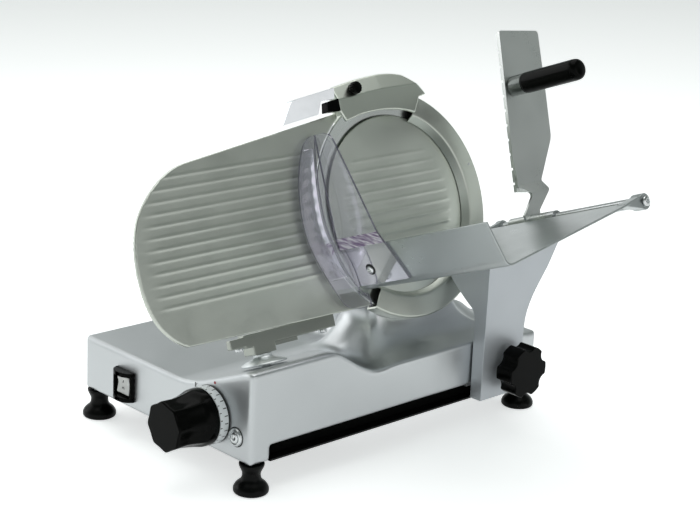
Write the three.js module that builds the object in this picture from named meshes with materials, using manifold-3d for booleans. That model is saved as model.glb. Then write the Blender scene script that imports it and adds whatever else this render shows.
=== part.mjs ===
// Electric gravity feed slicer with a tilted 250 mm blade, built as an assembly of separate pieces.
// Millimetres, +Z up, +X is the carriage side, +Y is the rear, away from the thickness knob.
import * as THREE from 'three';
import { mergeVertices } from 'three/addons/utils/BufferGeometryUtils.js';
import Module from 'manifold-3d';

const wasm = await Module();
wasm.setup();

// Driving sizes
const GAP = 0.3;                 // air between pieces that touch
const WALL = 4;                  // casting wall
const BASE_W = 287.8;            // casing width along X
const BASE_L = 440;              // casing length along Y
const FOOT_H = 33;               // height of the rubber feet
const DECK_Z = 95;               // low deck the slices land on
const CREST_H = 41.5;            // crest of the raised side, above the deck
const CREST_IN = 9.9;            // crest, in from the side
const TILT = THREE.MathUtils.degToRad(21.2);   // blade axis above the horizontal
const BLADE_R = 125;
const BLADE_IN = 78.7;           // blade centre, in from the raised side
const BLADE_BACK = 282;          // blade centre, back from the front
const BLADE_UP = 159;            // blade centre, above the deck
const COVER_IN = 22.5;           // blade edge to the cover disc
const RING_OUT = 4;              // ring guard, outside the blade edge
const ARC_OUT = 1.5;             // gauge plate, clear of the blade edge
const GAUGE_TRAVEL = 15;         // thickest slice
const HOUSE_IN = 17;             // blade edge to the housing
const HOUSE_K = -14;             // front face of the blade housing
const HOUSE_DEPTH = 48;
const DRIVE_W = -95;             // motor axis below the blade axis
const MOTOR_R = 40;
const MOTOR_L = 68;
const PULLEY_R = 60;
const PINION_R = 12;
const SLIDE_IN = 22.9;           // carriage slide rod, in from the raised side
const SLIDE_Z = 60;
const SLIDE_R = 9;
const KNOB_IN = 63.9;            // thickness knob axis, in from the raised side
const KNOB_Z = 72.6;
const KNOB_L = 54.7;
const DIAL_R = 32.3;
const CAM_LOW = 10;              // scroll cam, smallest radius
const CAM_TURN = 300;            // degrees for the full travel
const ARM_T = 16;
const ARM_W = 67;                // carriage arm, along the travel
const ARM_U = 46;                // carriage arm, front edge behind the blade centre
const TRAY_K = 4.8;              // tray, blade end
const TRAY_L = 220.2;
const TRAY_T = 4.6;
const ROD_U = 142;               // pusher rod axis
const ROD_W = -51.5;
const ROD_R = 6;
const SLEEVE_K = 27;
const SLEEVE_L = 70;
const PUSH_K = 49;               // pusher plate, blade side face
const PUSH_T = 3;
const JOG = 9;                   // step in the pusher plate, away from the blade

const BIG = 56;
const MED = 24;
const SMALL = 12;

// Planes and axes that follow from them
const RIGHT = BASE_W / 2;
const LEFT = -RIGHT;
const REAR = BASE_L / 2;
const FRONT = -REAR;
const CREST_X = RIGHT - CREST_IN;
const CREST_Z = DECK_Z + CREST_H;
const BLADE_C = new THREE.Vector3(RIGHT - BLADE_IN, FRONT + BLADE_BACK, DECK_Z + BLADE_UP);
const COVER_R = BLADE_R - COVER_IN;
const RING_R = BLADE_R + RING_OUT;
const GAUGE_ARC = BLADE_R + ARC_OUT;
const HOUSE_R = BLADE_R - HOUSE_IN;
const HOUSE_BACK = HOUSE_K - HOUSE_DEPTH;
const SLIDE_X = RIGHT - SLIDE_IN;
const KNOB_X = RIGHT - KNOB_IN;

// Directions: U along the travel, N out of the blade, W up the slope of the blade
const U = new THREE.Vector3(0, 1, 0);
const N = new THREE.Vector3(Math.cos(TILT), 0, Math.sin(TILT));
const W = new THREE.Vector3(-Math.sin(TILT), 0, Math.cos(TILT));
const X = new THREE.Vector3(1, 0, 0);
const Y = new THREE.Vector3(0, 1, 0);
const Z = new THREE.Vector3(0, 0, 1);

// A point given by its place along the travel, up the slope and out of the blade
const at = (u, w, k) => BLADE_C.clone()
  .addScaledVector(U, u)
  .addScaledVector(W, w)
  .addScaledVector(N, k);

const basis = (ex, ey, ez, origin) => new THREE.Matrix4().makeBasis(ex, ey, ez).setPosition(origin);

const extrude = (shape, depth, matrix, steps = 10) => {
  const geometry = new THREE.ExtrudeGeometry(shape, { depth, bevelEnabled: false, curveSegments: steps });
  return geometry.applyMatrix4(matrix);
};
// Shapes drawn in (u, w), (k, w), (x, z) and (y, z)
const alongN = (shape, k0, k1, steps) => extrude(shape, k1 - k0, basis(U, W, N, at(0, 0, k0)), steps);
const alongU = (shape, u0, u1, steps) => (
  extrude(shape, u1 - u0, basis(N, W, U.clone().negate(), at(u1, 0, 0)), steps)
);
const alongY = (shape, y0, y1, steps) => (
  extrude(shape, y1 - y0, basis(X, Z, Y.clone().negate(), new THREE.Vector3(0, y1, 0)), steps)
);
const alongX = (shape, x0, x1, steps) => (
  extrude(shape, x1 - x0, basis(Y, Z, X, new THREE.Vector3(x0, 0, 0)), steps)
);

// A turned piece: the profile lists (radius, distance along the axis), either way round
const turned = (profile, origin, axis, segments = MED) => {
  const points = profile.map(([r, h]) => new THREE.Vector2(r, h));
  if (THREE.ShapeUtils.area(points) < 0) {
    points.reverse();
  }
  const side = Math.abs(axis.y) > 0.9 ? X : Y;
  const ex = side.clone().addScaledVector(axis, -side.dot(axis)).normalize();
  const ez = ex.clone().cross(axis);
  return new THREE.LatheGeometry(points, segments).applyMatrix4(basis(ex, axis, ez, origin));
};
const rod = (r, h0, h1, origin, axis, segments = MED) => (
  turned([[0, h0], [r, h0], [r, h1], [0, h1]], origin, axis, segments)
);
const tube = (inner, outer, h0, h1, origin, axis, segments = MED) => (
  turned([[inner, h0], [outer, h0], [outer, h1], [inner, h1], [inner, h0]], origin, axis, segments)
);
const block = (x0, x1, y0, y1, z0, z1) => (
  new THREE.BoxGeometry(x1 - x0, y1 - y0, z1 - z0)
    .translate((x0 + x1) / 2, (y0 + y1) / 2, (z0 + z1) / 2)
);
const tilted = (u0, u1, w0, w1, k0, k1) => (
  new THREE.BoxGeometry(u1 - u0, w1 - w0, k1 - k0)
    .translate((u0 + u1) / 2, (w0 + w1) / 2, (k0 + k1) / 2)
    .applyMatrix4(basis(U, W, N, BLADE_C))
);
const polygon = (points) => new THREE.Shape(points.map(([x, y]) => new THREE.Vector2(x, y)));

// A polygon with rounded corners: each point is (x, y, radius)
const rounded = (points) => {
  const shape = new THREE.Shape();
  points.forEach(([x, y, r = 0], i) => {
    const corner = new THREE.Vector2(x, y);
    const before = points[(i + points.length - 1) % points.length];
    const after = points[(i + 1) % points.length];
    const toBefore = new THREE.Vector2(before[0] - x, before[1] - y).normalize();
    const toAfter = new THREE.Vector2(after[0] - x, after[1] - y).normalize();
    const start = corner.clone().addScaledVector(toBefore, r);
    const end = corner.clone().addScaledVector(toAfter, r);
    if (i === 0) {
      shape.moveTo(start.x, start.y);
    } else {
      shape.lineTo(start.x, start.y);
    }
    if (r > 0) {
      shape.quadraticCurveTo(x, y, end.x, end.y);
    }
  });
  shape.closePath();
  return shape;
};

// Solids are joined and cut as manifolds
const solid = (geometry) => {
  const bare = geometry.clone();
  bare.deleteAttribute('normal');
  bare.deleteAttribute('uv');
  const merged = mergeVertices(bare, 1e-4);
  return new wasm.Manifold(new wasm.Mesh({
    numProp: 3,
    vertProperties: new Float32Array(merged.attributes.position.array),
    triVerts: new Uint32Array(merged.index.array),
  }));
};
const join = (...parts) => parts.map(solid).reduce((a, b) => a.add(b));
const cut = (body, ...tools) => tools.map(solid).reduce((a, b) => a.subtract(b), body);

const group = new THREE.Group();
group.name = 'gravity_slicer';

const finish = {
  cast: { color: 0x9ba09c, roughness: 0.42, metalness: 1 },
  plate: { color: 0x93988f, roughness: 0.4, metalness: 1 },
  bright: { color: 0xc8ccce, roughness: 0.25, metalness: 1 },
  steel: { color: 0xb9bcbd, roughness: 0.3, metalness: 1 },
  chrome: { color: 0xd8dadb, roughness: 0.12, metalness: 1 },
  plastic: { color: 0x151515, roughness: 0.35, metalness: 0 },
  rubber: { color: 0x101010, roughness: 0.7, metalness: 0 },
  white: { color: 0xe6e6e2, roughness: 0.4, metalness: 0 },
  clear: { color: 0xcfd0e6, roughness: 0.05, metalness: 0, transparent: true, opacity: 0.4 },
  stone: { color: 0xb9b2a6, roughness: 0.95, metalness: 0 },
  black: { color: 0x1b1b1c, roughness: 0.6, metalness: 0.2 },
};

const piece = (name, body, look) => {
  let geometry = body;
  if (!body.isBufferGeometry) {
    const mesh = body.getMesh();
    geometry = new THREE.BufferGeometry();
    geometry.setAttribute('position', new THREE.BufferAttribute(new Float32Array(mesh.vertProperties), 3));
    geometry.setIndex(new THREE.BufferAttribute(new Uint32Array(mesh.triVerts), 1));
    geometry = geometry.toNonIndexed();
    geometry.computeVertexNormals();
  }
  const mesh = new THREE.Mesh(geometry, new THREE.MeshStandardMaterial(look));
  mesh.name = name;
  group.add(mesh);
};

// Base casting: casing, raised side and blade housing in one aluminium casting, open below.
// Each outline is drawn twice, once at the skin and once a wall thickness inside it.
const DEEP = 1;                  // cores reach this far out of an open face
const RAMP_IN = 15;              // upper end of the ramp, in from the crest
const RAMP_W = 52.3;
const RAMP_DROP = 8.5;
const crossSection = (t) => {
  const bottom = FOOT_H - (t ? DEEP : 0);
  const rampX = CREST_X - RAMP_IN;
  const shape = new THREE.Shape();
  shape.moveTo(LEFT + t, bottom);
  shape.lineTo(RIGHT - t, bottom);
  shape.lineTo(RIGHT - t, CREST_Z - 5.1 - 1.2 * t);
  shape.quadraticCurveTo(CREST_X + 7 - t, CREST_Z + 1 - 1.2 * t, CREST_X - t, CREST_Z - 1.6 - t);
  shape.quadraticCurveTo(CREST_X - 6 - t, CREST_Z - 3.6 - t, rampX - t, CREST_Z - RAMP_DROP - t);
  shape.lineTo(rampX - RAMP_W, DECK_Z + 10.5 - t);
  shape.quadraticCurveTo(rampX - RAMP_W - 18, DECK_Z + 2.5 - t, rampX - RAMP_W - 44, DECK_Z - t);
  shape.lineTo(LEFT + 3 + t, DECK_Z - t);
  shape.quadraticCurveTo(LEFT + t, DECK_Z - t, LEFT + t, DECK_Z - 3 - t);
  shape.closePath();
  return shape;
};
// Seen from the side, the raised part drops in one sweep to the low rear
const SWEEP_END = 225;           // foot of the sweep, back from the front
const sideSection = (t) => {
  const bottom = FOOT_H - (t ? DEEP : 0);
  const foot = FRONT + SWEEP_END;
  const shape = new THREE.Shape();
  shape.moveTo(FRONT + t, bottom);
  shape.lineTo(REAR - t, bottom);
  shape.lineTo(REAR - t, DECK_Z - 2 - t);
  shape.lineTo(foot, DECK_Z - t);
  shape.bezierCurveTo(foot - 45, DECK_Z - t, foot - 67, DECK_Z + 13 - t, foot - 81, DECK_Z + 22 - t);
  shape.bezierCurveTo(foot - 93, DECK_Z + 30 - t, foot - 102, CREST_Z - 5 - t, foot - 111, CREST_Z + 1 - t);
  shape.lineTo(foot - 117, CREST_Z + 8 - t);
  shape.lineTo(FRONT + t, CREST_Z + 8 - t);
  shape.closePath();
  return shape;
};
// Blade housing seen along the blade axis: a round case on a flared neck
const NECK = 62;                 // half width of the neck
const FLARE = 42;                // how far its foot spreads to each side
const NECK_TOP = HOUSE_R - 16;
const NECK_LOW = HOUSE_R + 4;
const housing = (t) => {
  const r = HOUSE_R - t;
  const neck = NECK - t;
  const shape = new THREE.Shape();
  const turn = THREE.MathUtils.degToRad(-40);
  shape.absarc(0, 0, r, turn, Math.PI - turn, false);
  shape.quadraticCurveTo(-neck, -NECK_TOP, -neck, -NECK_LOW);
  shape.bezierCurveTo(-neck, -NECK_LOW - 18, -neck - FLARE / 3, -NECK_LOW - 28, -neck - FLARE, -NECK_LOW - 34);
  shape.lineTo(-neck - FLARE, -NECK_LOW - 64);
  shape.lineTo(neck + FLARE, -NECK_LOW - 64);
  shape.lineTo(neck + FLARE, -NECK_LOW - 34);
  shape.bezierCurveTo(neck + FLARE / 3, -NECK_LOW - 28, neck, -NECK_LOW - 18, neck, -NECK_LOW);
  shape.quadraticCurveTo(neck, -NECK_TOP, r * Math.cos(turn), r * Math.sin(turn));
  return shape;
};
const driveAxis = at(0, DRIVE_W, 0);
const BARREL_R = MOTOR_R + 10;
const BARREL_BACK = HOUSE_BACK - MOTOR_L - 8;
const barrel = (t, front) => turned([
  [0, BARREL_BACK + t], [BARREL_R - 14 - t, BARREL_BACK + t], [BARREL_R - 4 - t, BARREL_BACK + 4 + t],
  [BARREL_R - t, BARREL_BACK + 14 + t / 2], [BARREL_R - t, front], [0, front],
], driveAxis, N, 32);
const SHELF_L = 200;             // ledge beside the housing, along the travel
const shelf = polygon([
  [RIGHT - 104, DECK_Z - 15], [RIGHT, DECK_Z - 15], [RIGHT, DECK_Z - 1], [RIGHT - 36, DECK_Z + 13],
  [RIGHT - 84, DECK_Z + 23], [RIGHT - 104, DECK_Z + 23],
]);
const above = block(LEFT, RIGHT, FRONT, REAR, FOOT_H + 30, BLADE_C.z + HOUSE_R + WALL);
const shellTop = join(alongN(housing(0), HOUSE_BACK, HOUSE_K, 14), barrel(0, HOUSE_BACK + WALL / 2))
  .intersect(solid(above));
const inner = solid(alongY(crossSection(WALL), FRONT + WALL, REAR - WALL, 8))
  .intersect(solid(alongX(sideSection(WALL), LEFT + WALL, RIGHT - WALL, 8)));
let casing = solid(alongY(crossSection(0), FRONT, REAR, 8))
  .intersect(solid(alongX(sideSection(0), LEFT, RIGHT, 8)))
  .add(shellTop)
  .add(solid(alongY(shelf, BLADE_C.y - 84, BLADE_C.y - 84 + SHELF_L)))
  .subtract(inner);
casing = cut(
  casing,
  alongN(housing(WALL), HOUSE_BACK + WALL, HOUSE_K - WALL, 14),
  barrel(WALL, HOUSE_BACK - 0.05),
  rod(PINION_R + WALL, HOUSE_BACK - 1, HOUSE_BACK + WALL + 1, driveAxis, N),
);
// Bearing boss behind the front wall of the housing
const BEARING_R = 21;
const BEARING_L = 10;
const BEARING_1 = HOUSE_K - 3.6 - BEARING_L;
const BEARING_2 = BEARING_1 - 4.2 - BEARING_L;
const BOSS_END = BEARING_2 - 0.2;
const CAP_R = 36;                // recess that the spindle flange turns in
const TIE_R = 4;
casing = casing.add(join(
  rod(CAP_R + WALL, HOUSE_K - 9, HOUSE_K - 1, BLADE_C, N),
  rod(BEARING_R + 6, BOSS_END, HOUSE_K - 1, BLADE_C, N),
));
casing = cut(
  casing,
  rod(CAP_R, HOUSE_K - 3, HOUSE_K + 1, BLADE_C, N),
  rod(BEARING_R + GAP, BOSS_END - 1, HOUSE_K, BLADE_C, N),
  rod(TIE_R + 1, HOUSE_BACK - 1, HOUSE_BACK + WALL + 1, BLADE_C, N, SMALL),
);
// Bosses and lugs inside the base
const FOOT_X = RIGHT - 10.9;
const FOOT_Y = REAR - 12;
const STUD_R = 3;
const BOSS = 9;                  // half width of a foot boss
const ROD_BOSS = 14;
const BAR_W = 10;
const BAR_Z = FOOT_H + 4.5;
const BAR_X = SLIDE_X - 56;
const SHEET = 2;                 // bottom cover
const GUIDE_R = 5;
const POST_R = 6.5;
const POST_K = -12;
const CAM_Y = FRONT + 30;
const LUG_Y = FRONT + 42;        // lugs that carry the gauge guide rod
const LUG_L = 18;
const gaugeOrigin = new THREE.Vector3(KNOB_X, LUG_Y + LUG_L / 2, DECK_Z - 7);
const POST_U = gaugeOrigin.y - BLADE_C.y;
const SWITCH_X = LEFT + 75.9;
const SWITCH_Z = 60;
const SWITCH_W = 12;             // half width of the opening in the front face
const SWITCH_H = 14;
const GLAND_X = LEFT + 53.9;
const GLAND_Z = 60;
const GLAND_R = 8;
const SLOT_Z = 51;               // top of the carriage slot in the side
const SLOT_Y0 = FRONT + 27;
const SLOT_Y1 = REAR - 20;
const corners = { front_left: [-1, -1], front_right: [1, -1], rear_left: [-1, 1], rear_right: [1, 1] };
const footPlace = Object.entries(corners).map(([name, [sx, sy]]) => (
  { name, sx, sy, place: new THREE.Vector3(sx * FOOT_X, sy * FOOT_Y, 0) }
));
for (const { sx, sy } of footPlace) {
  const xs = [sx * (FOOT_X - BOSS), sx * (RIGHT - WALL / 2)].sort((a, b) => a - b);
  const ys = [sy * (FOOT_Y - BOSS), sy * (REAR - WALL / 2)].sort((a, b) => a - b);
  casing = casing.add(solid(block(...xs, ...ys, FOOT_H + SHEET + 2 * GAP, FOOT_H + 33)));
}
const rodAxisY = new THREE.Vector3(SLIDE_X, 0, SLIDE_Z);
const knobAxis = new THREE.Vector3(KNOB_X, 0, KNOB_Z);
const glandAxis = new THREE.Vector3(GLAND_X, 0, GLAND_Z);
casing = casing
  .add(solid(rod(ROD_BOSS, FRONT + WALL / 2, FRONT + 20, rodAxisY, Y)))
  .add(solid(rod(ROD_BOSS, REAR - 20, REAR - WALL / 2, rodAxisY, Y)))
  .add(solid(rod(11, FRONT + WALL / 2, FRONT + 16, knobAxis, Y)))
  .add(solid(block(BAR_X - 9, BAR_X + 9, FRONT + WALL / 2, FRONT + 14, BAR_Z + 8 + GAP, 62)))
  .add(solid(block(BAR_X - 9, BAR_X + 9, REAR - 14, REAR - WALL / 2, BAR_Z + 8 + GAP, 62)))
  .add(solid(block(KNOB_X - 51, KNOB_X - 41.5, LUG_Y, LUG_Y + LUG_L, 60, DECK_Z - WALL / 2)))
  .add(solid(block(KNOB_X + 44, RIGHT - WALL / 2, LUG_Y, LUG_Y + LUG_L, DECK_Z + 2, DECK_Z + 31)));
casing = cut(
  casing,
  block(RIGHT - WALL - 1, RIGHT + 1, SLOT_Y0, SLOT_Y1, FOOT_H - 1, SLOT_Z),
  rod(SLIDE_R + GAP, FRONT + WALL, REAR - WALL, rodAxisY, Y),
  rod(6 + GAP, FRONT - 1, FRONT + WALL + 2, rodAxisY, Y, SMALL),
  rod(6 + GAP, FRONT - 1, FRONT + 18, knobAxis, Y, SMALL),
  rod(GUIDE_R + GAP, -52, 60, gaugeOrigin, N, SMALL),
  tilted(POST_U - POST_R - 1, POST_U + POST_R + 1, -152, -126, POST_K - 23, POST_K + 8),
  block(SWITCH_X - SWITCH_W, SWITCH_X + SWITCH_W, FRONT - 1, FRONT + WALL + 1,
    SWITCH_Z - SWITCH_H, SWITCH_Z + SWITCH_H),
  rod(GLAND_R + GAP, REAR - WALL - 1, REAR + 1, glandAxis, Y, SMALL),
  ...footPlace.map(({ place }) => rod(STUD_R + GAP, FOOT_H - 3, FOOT_H + 21, place, Z, SMALL)),
);
piece('base_casting', casing, finish.cast);

// Bottom cover: black sheet under the base, its edge shows in the side slot
const sheetLow = FOOT_H + GAP;
piece('bottom_cover', cut(
  join(
    block(LEFT + WALL + GAP, RIGHT - WALL - GAP, FRONT + WALL + GAP, REAR - WALL - GAP, sheetLow, sheetLow + SHEET),
    block(RIGHT - WALL - 2, RIGHT - 0.5, SLOT_Y0 + 1, SLOT_Y1 - 1, sheetLow, sheetLow + SHEET),
  ),
  ...footPlace.map(({ place }) => rod(STUD_R + GAP, FOOT_H - 3, FOOT_H + 7, place, Z, SMALL)),
), finish.black);

// Rubber feet, each with its stud
const footProfile = [
  [0, 0], [19, 0], [20, 5], [14, 13], [10.3, 21], [10.3, 24], [14.5, 29], [14.5, FOOT_H - GAP],
  [STUD_R, FOOT_H - GAP], [STUD_R, FOOT_H + 19], [0, FOOT_H + 19],
];
for (const { name, place } of footPlace) {
  piece(`foot_${name}`, solid(turned(footProfile, place, Z, 16)), finish.rubber);
}

// Mains switch: hooded black frame in the front face, with a pale rocker
const LIP_OUT = 17;              // half width of the frame
const LIP_UP = 19;
const LIP_D = 11;
const lip = (z0, z1, r0, r1) => alongY(rounded([
  [SWITCH_X - LIP_OUT, z0, r0], [SWITCH_X + LIP_OUT, z0, r0],
  [SWITCH_X + LIP_OUT, z1, r1], [SWITCH_X - LIP_OUT, z1, r1],
]), FRONT - LIP_D, FRONT - 2);
piece('switch_frame', cut(
  join(
    block(SWITCH_X - LIP_OUT, SWITCH_X + LIP_OUT, FRONT - 3, FRONT - GAP, SWITCH_Z - LIP_UP, SWITCH_Z + LIP_UP),
    lip(SWITCH_Z + 11.5, SWITCH_Z + LIP_UP, 0, 3),
    lip(SWITCH_Z - LIP_UP, SWITCH_Z - 11.5, 3, 0),
    block(SWITCH_X - SWITCH_W + GAP, SWITCH_X + SWITCH_W - GAP, FRONT - 1, FRONT + 22,
      SWITCH_Z - SWITCH_H + GAP, SWITCH_Z + SWITCH_H - GAP),
  ),
  block(SWITCH_X - 8.5, SWITCH_X + 8.5, FRONT - 4, FRONT + 12, SWITCH_Z - 10.5, SWITCH_Z + 10.5),
), finish.plastic);
piece('switch_rocker', solid(alongX(rounded([
  [FRONT + 5, SWITCH_Z - 8, 1], [FRONT + 5, SWITCH_Z + 8, 1], [FRONT - 4.5, SWITCH_Z + 9, 1],
  [FRONT - 2.5, SWITCH_Z, 2], [FRONT - 4.5, SWITCH_Z - 9, 1],
]), SWITCH_X - 8, SWITCH_X + 8, 3)), finish.white);

// Thickness knob with its dial ring, and the shaft that carries the scroll cam
const DIAL_L = 8;
const KNOB_BACK = FRONT - DIAL_L - GAP;
const KNOB_FACE = KNOB_BACK - KNOB_L;
const SHAFT_R = 6;
const FLUTES = 8;
let knob = solid(turned([
  [0, KNOB_FACE], [DIAL_R - 7.8, KNOB_FACE], [DIAL_R - 5.3, KNOB_FACE + 2], [DIAL_R - 4.3, KNOB_FACE + 24],
  [DIAL_R - 2.8, KNOB_FACE + 36], [DIAL_R - 0.3, KNOB_FACE + 48], [DIAL_R - 0.3, KNOB_BACK],
  [SHAFT_R + 2, KNOB_BACK], [SHAFT_R + 2, KNOB_BACK - 8], [0, KNOB_BACK - 8],
], knobAxis, Y, 32));
for (let i = 0; i < FLUTES; i += 1) {
  const a = ((i + 0.5) / FLUTES) * 2 * Math.PI;
  const away = DIAL_R + 7;
  const flute = new THREE.CylinderGeometry(6, 12.5, KNOB_L * 1.2, 8)
    .rotateX(Math.PI)
    .translate(KNOB_X + away * Math.cos(a), KNOB_FACE + KNOB_L * 0.2, KNOB_Z + away * Math.sin(a));
  knob = cut(knob, flute);
}
piece('thickness_knob', knob, finish.plastic);
piece('dial_ring', solid(
  tube(SHAFT_R + GAP, DIAL_R, FRONT - DIAL_L, FRONT - GAP, knobAxis, Y, 36),
), finish.white);
// The cam radius grows by the full travel over its turn, and faces its follower down the slope
const CAM_T = 6;
const camPoints = [];
for (let deg = 0; deg <= 350; deg += 10) {
  const a = Math.PI + TILT + THREE.MathUtils.degToRad(deg);
  const lift = GAUGE_TRAVEL * Math.min(deg, CAM_TURN) / CAM_TURN;
  const r = deg <= CAM_TURN + 10 ? CAM_LOW + lift : CAM_LOW;
  camPoints.push([KNOB_X + r * Math.cos(a), KNOB_Z + r * Math.sin(a)]);
}
piece('knob_shaft', join(
  rod(SHAFT_R, KNOB_BACK - 7.4, CAM_Y + CAM_T + 2, knobAxis, Y, SMALL),
  alongY(polygon(camPoints), CAM_Y, CAM_Y + CAM_T, 1),
), finish.steel);

// Gauge slide: a block on a tilted rod, its pin rides on the cam
const FOLLOWER_R = 4;
const camDrop = gaugeOrigin.z - KNOB_Z;
const followerW = -camDrop * Math.cos(TILT);
const followerN = -(CAM_LOW + FOLLOWER_R + GAP) - camDrop * Math.sin(TILT);
const SLIDE_FRONT = CAM_Y + CAM_T + 4;
const inGauge = (geometry) => geometry.applyMatrix4(basis(N, U, W, gaugeOrigin));
const slideBox = (s0, s1, y0, y1, h0, h1) => inGauge(
  new THREE.BoxGeometry(s1 - s0, y1 - y0, h1 - h0).translate((s0 + s1) / 2, (y0 + y1) / 2, (h0 + h1) / 2),
);
const follower = gaugeOrigin.clone()
  .addScaledVector(N, followerN)
  .addScaledVector(W, followerW)
  .setY(0);
const slideY0 = SLIDE_FRONT - gaugeOrigin.y;
piece('gauge_guide_rod', rod(GUIDE_R, -51, 59, gaugeOrigin, N, SMALL), finish.steel);
piece('gauge_slide', cut(
  join(
    slideBox(-21, 42, slideY0, 12, -10, 10),
    slideBox(followerN - 6, followerN + 6, slideY0 - 1, slideY0 + 6, followerW - 6, 0),
    rod(FOLLOWER_R, CAM_Y - 0.5, SLIDE_FRONT + 2, follower, Y, SMALL),
  ),
  rod(GUIDE_R + GAP, -60, 70, gaugeOrigin, N, SMALL),
), finish.steel);

// Gauge post: round foot on the raised side, its stem goes down through the slot to the slide
const POST_W = -135.2;           // foot of the post, just clear of the ramp
const RAIL_TOP = -101;           // rail of the bracket
const BLOCK_LOW = RAIL_TOP - 23;
const slideTop = gaugeOrigin.clone().sub(BLADE_C).dot(W) + 10;
piece('gauge_post', solid(turned([
  [0, slideTop + GAP], [POST_R, slideTop + GAP], [POST_R, POST_W], [25, POST_W], [25, POST_W + 1.4],
  [21, POST_W + 3.6], [12, POST_W + 6.2], [10, POST_W + 8.2], [10, BLOCK_LOW - GAP], [0, BLOCK_LOW - GAP],
], at(POST_U, 0, POST_K), W, 20)), finish.bright);

// Bracket: rail behind the lower edge of the gauge plate, with the block that sits on the post
const PLATE_T = 4.8;
const PLATE_K = -0.2;
const railFront = PLATE_K - PLATE_T - 0.4;
piece('gauge_bracket', join(
  tilted(POST_U - 25, POST_U + 102, RAIL_TOP - 14, RAIL_TOP, railFront - 10.6, railFront),
  tilted(POST_U - 15, POST_U + 15, BLOCK_LOW, RAIL_TOP - 9, POST_K - 12, railFront),
  tilted(POST_U - 4, POST_U + 48, RAIL_TOP - 18, RAIL_TOP - 12, POST_K - 2, railFront - 1.6),
  tilted(POST_U - 44, POST_U - 19, RAIL_TOP - 12, RAIL_TOP - 2, POST_K, railFront),
), finish.cast);

// Gauge plate: ribbed cast plate, cut round the blade
const TIP_U = -77.5;             // where the lower edge meets the blade
const LOW_W = -(BLADE_R - 22.5);
const TOP_U = -70;
const topArc = Math.sqrt(GAUGE_ARC ** 2 - TOP_U ** 2);
const tipArc = -Math.sqrt(GAUGE_ARC ** 2 - LOW_W ** 2);
const PLATE_END = -372.5;        // rounded far end
const HIGH_W = BLADE_R - 41;
const plate = new THREE.Shape();
plate.moveTo(TOP_U, topArc + 6);
plate.lineTo(TOP_U - 72.8, HIGH_W + 18.3);
plate.lineTo(PLATE_END + 82.5, HIGH_W);
plate.bezierCurveTo(PLATE_END + 54.5, HIGH_W - 4, PLATE_END + 27.5, HIGH_W - 26, PLATE_END + 13.5, HIGH_W - 47);
plate.bezierCurveTo(PLATE_END + 3.5, HIGH_W - 64, PLATE_END - 0.5, LOW_W + 97.5, PLATE_END, LOW_W + 80.5);
plate.bezierCurveTo(PLATE_END + 0.5, LOW_W + 54.5, PLATE_END + 6.5, LOW_W + 34.5, PLATE_END + 18.5, LOW_W + 21.5);
plate.quadraticCurveTo(PLATE_END + 28.5, LOW_W + 10.5, PLATE_END + 42.5, LOW_W + 3.7);
plate.lineTo(Math.min(TIP_U, tipArc - 1), LOW_W);
plate.absarc(0, 0, GAUGE_ARC, Math.atan2(LOW_W, tipArc), Math.atan2(topArc, TOP_U), true);
plate.closePath();
// A cast rib: a low arch in (k, w) drawn along the travel
const arch = (k, w, out, wide) => polygon([
  [k, w - wide], [k + out, w - 0.4 * wide], [k + out, w + 0.4 * wide], [k, w + wide],
]);
const RIBS = 12;
const RIB_TOP = HIGH_W - 11;
const RIB_LOW = LOW_W + 46;
const ribs = [];
for (let i = 0; i < RIBS; i += 1) {
  const w = RIB_TOP - i * (RIB_TOP - RIB_LOW) / (RIBS - 1);
  const right = -Math.sqrt((BLADE_R + 20 - 0.08 * (RIB_TOP - w)) ** 2 - w * w);
  const reach = 1 - ((w + 15) / BLADE_R) ** 2;
  const left = PLATE_END + 72.5 - 66 * Math.sqrt(Math.max(reach, 0));
  ribs.push(alongU(arch(PLATE_K - 0.8, w, 2, 2.6), left, right, 1));
}
piece('gauge_plate', solid(alongN(plate, PLATE_K - PLATE_T, PLATE_K, 12))
  .add(join(...ribs).intersect(solid(alongN(plate, PLATE_K - 2, PLATE_K + 2, 12)))), finish.plate);

// Blade: dished ring on the spindle, sharp at the plane k = 0
const DISH = -11.5;              // back of the blade hub
const BORE_R = 20;
piece('blade', solid(turned([
  [BORE_R, DISH], [BLADE_R - 23.5, DISH], [BLADE_R - 1.6, -1.6], [BLADE_R, 0], [BLADE_R - 22, DISH + 2],
  [BORE_R, DISH + 2], [BORE_R, DISH],
], BLADE_C, N, BIG)), finish.steel);
// Blade cover: ribbed disc inside the dish, drawn back by the tie rod
const COVER_RIBS = 10;
const coverBack = DISH + 3.1;
let coverBody = solid(turned([
  [TIE_R + GAP, coverBack], [COVER_R, coverBack], [COVER_R, coverBack + 2], [COVER_R - 8.5, coverBack + 2.2],
  [COVER_R - 14.5, coverBack + 5.2], [0, coverBack + 5.2], [0, coverBack + 2.4], [TIE_R + GAP, coverBack + 2.4],
  [TIE_R + GAP, coverBack],
], BLADE_C, N, BIG));
for (let i = 0; i < COVER_RIBS; i += 1) {
  const w = COVER_R * (0.54 - 0.117 * i);
  const reach = Math.sqrt((COVER_R - 20.5) ** 2 - w * w);
  coverBody = coverBody.add(solid(alongU(arch(coverBack + 4.2, w, 2, 2.2), -reach, reach, 1)));
}
piece('blade_cover', coverBody, finish.plate);
piece('cover_tie_rod', rod(TIE_R, HOUSE_BACK - 16, coverBack + 2.1, BLADE_C, N, SMALL), finish.steel);
piece('cover_knob', solid(turned([
  [TIE_R + GAP, HOUSE_BACK - GAP], [14, HOUSE_BACK - GAP], [17, HOUSE_BACK - 4], [17, HOUSE_BACK - 16],
  [15, HOUSE_BACK - 18], [0, HOUSE_BACK - 18], [0, HOUSE_BACK - 16.3], [TIE_R + GAP, HOUSE_BACK - 16.3],
  [TIE_R + GAP, HOUSE_BACK - GAP],
], BLADE_C, N, 24)), finish.plastic);

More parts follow.
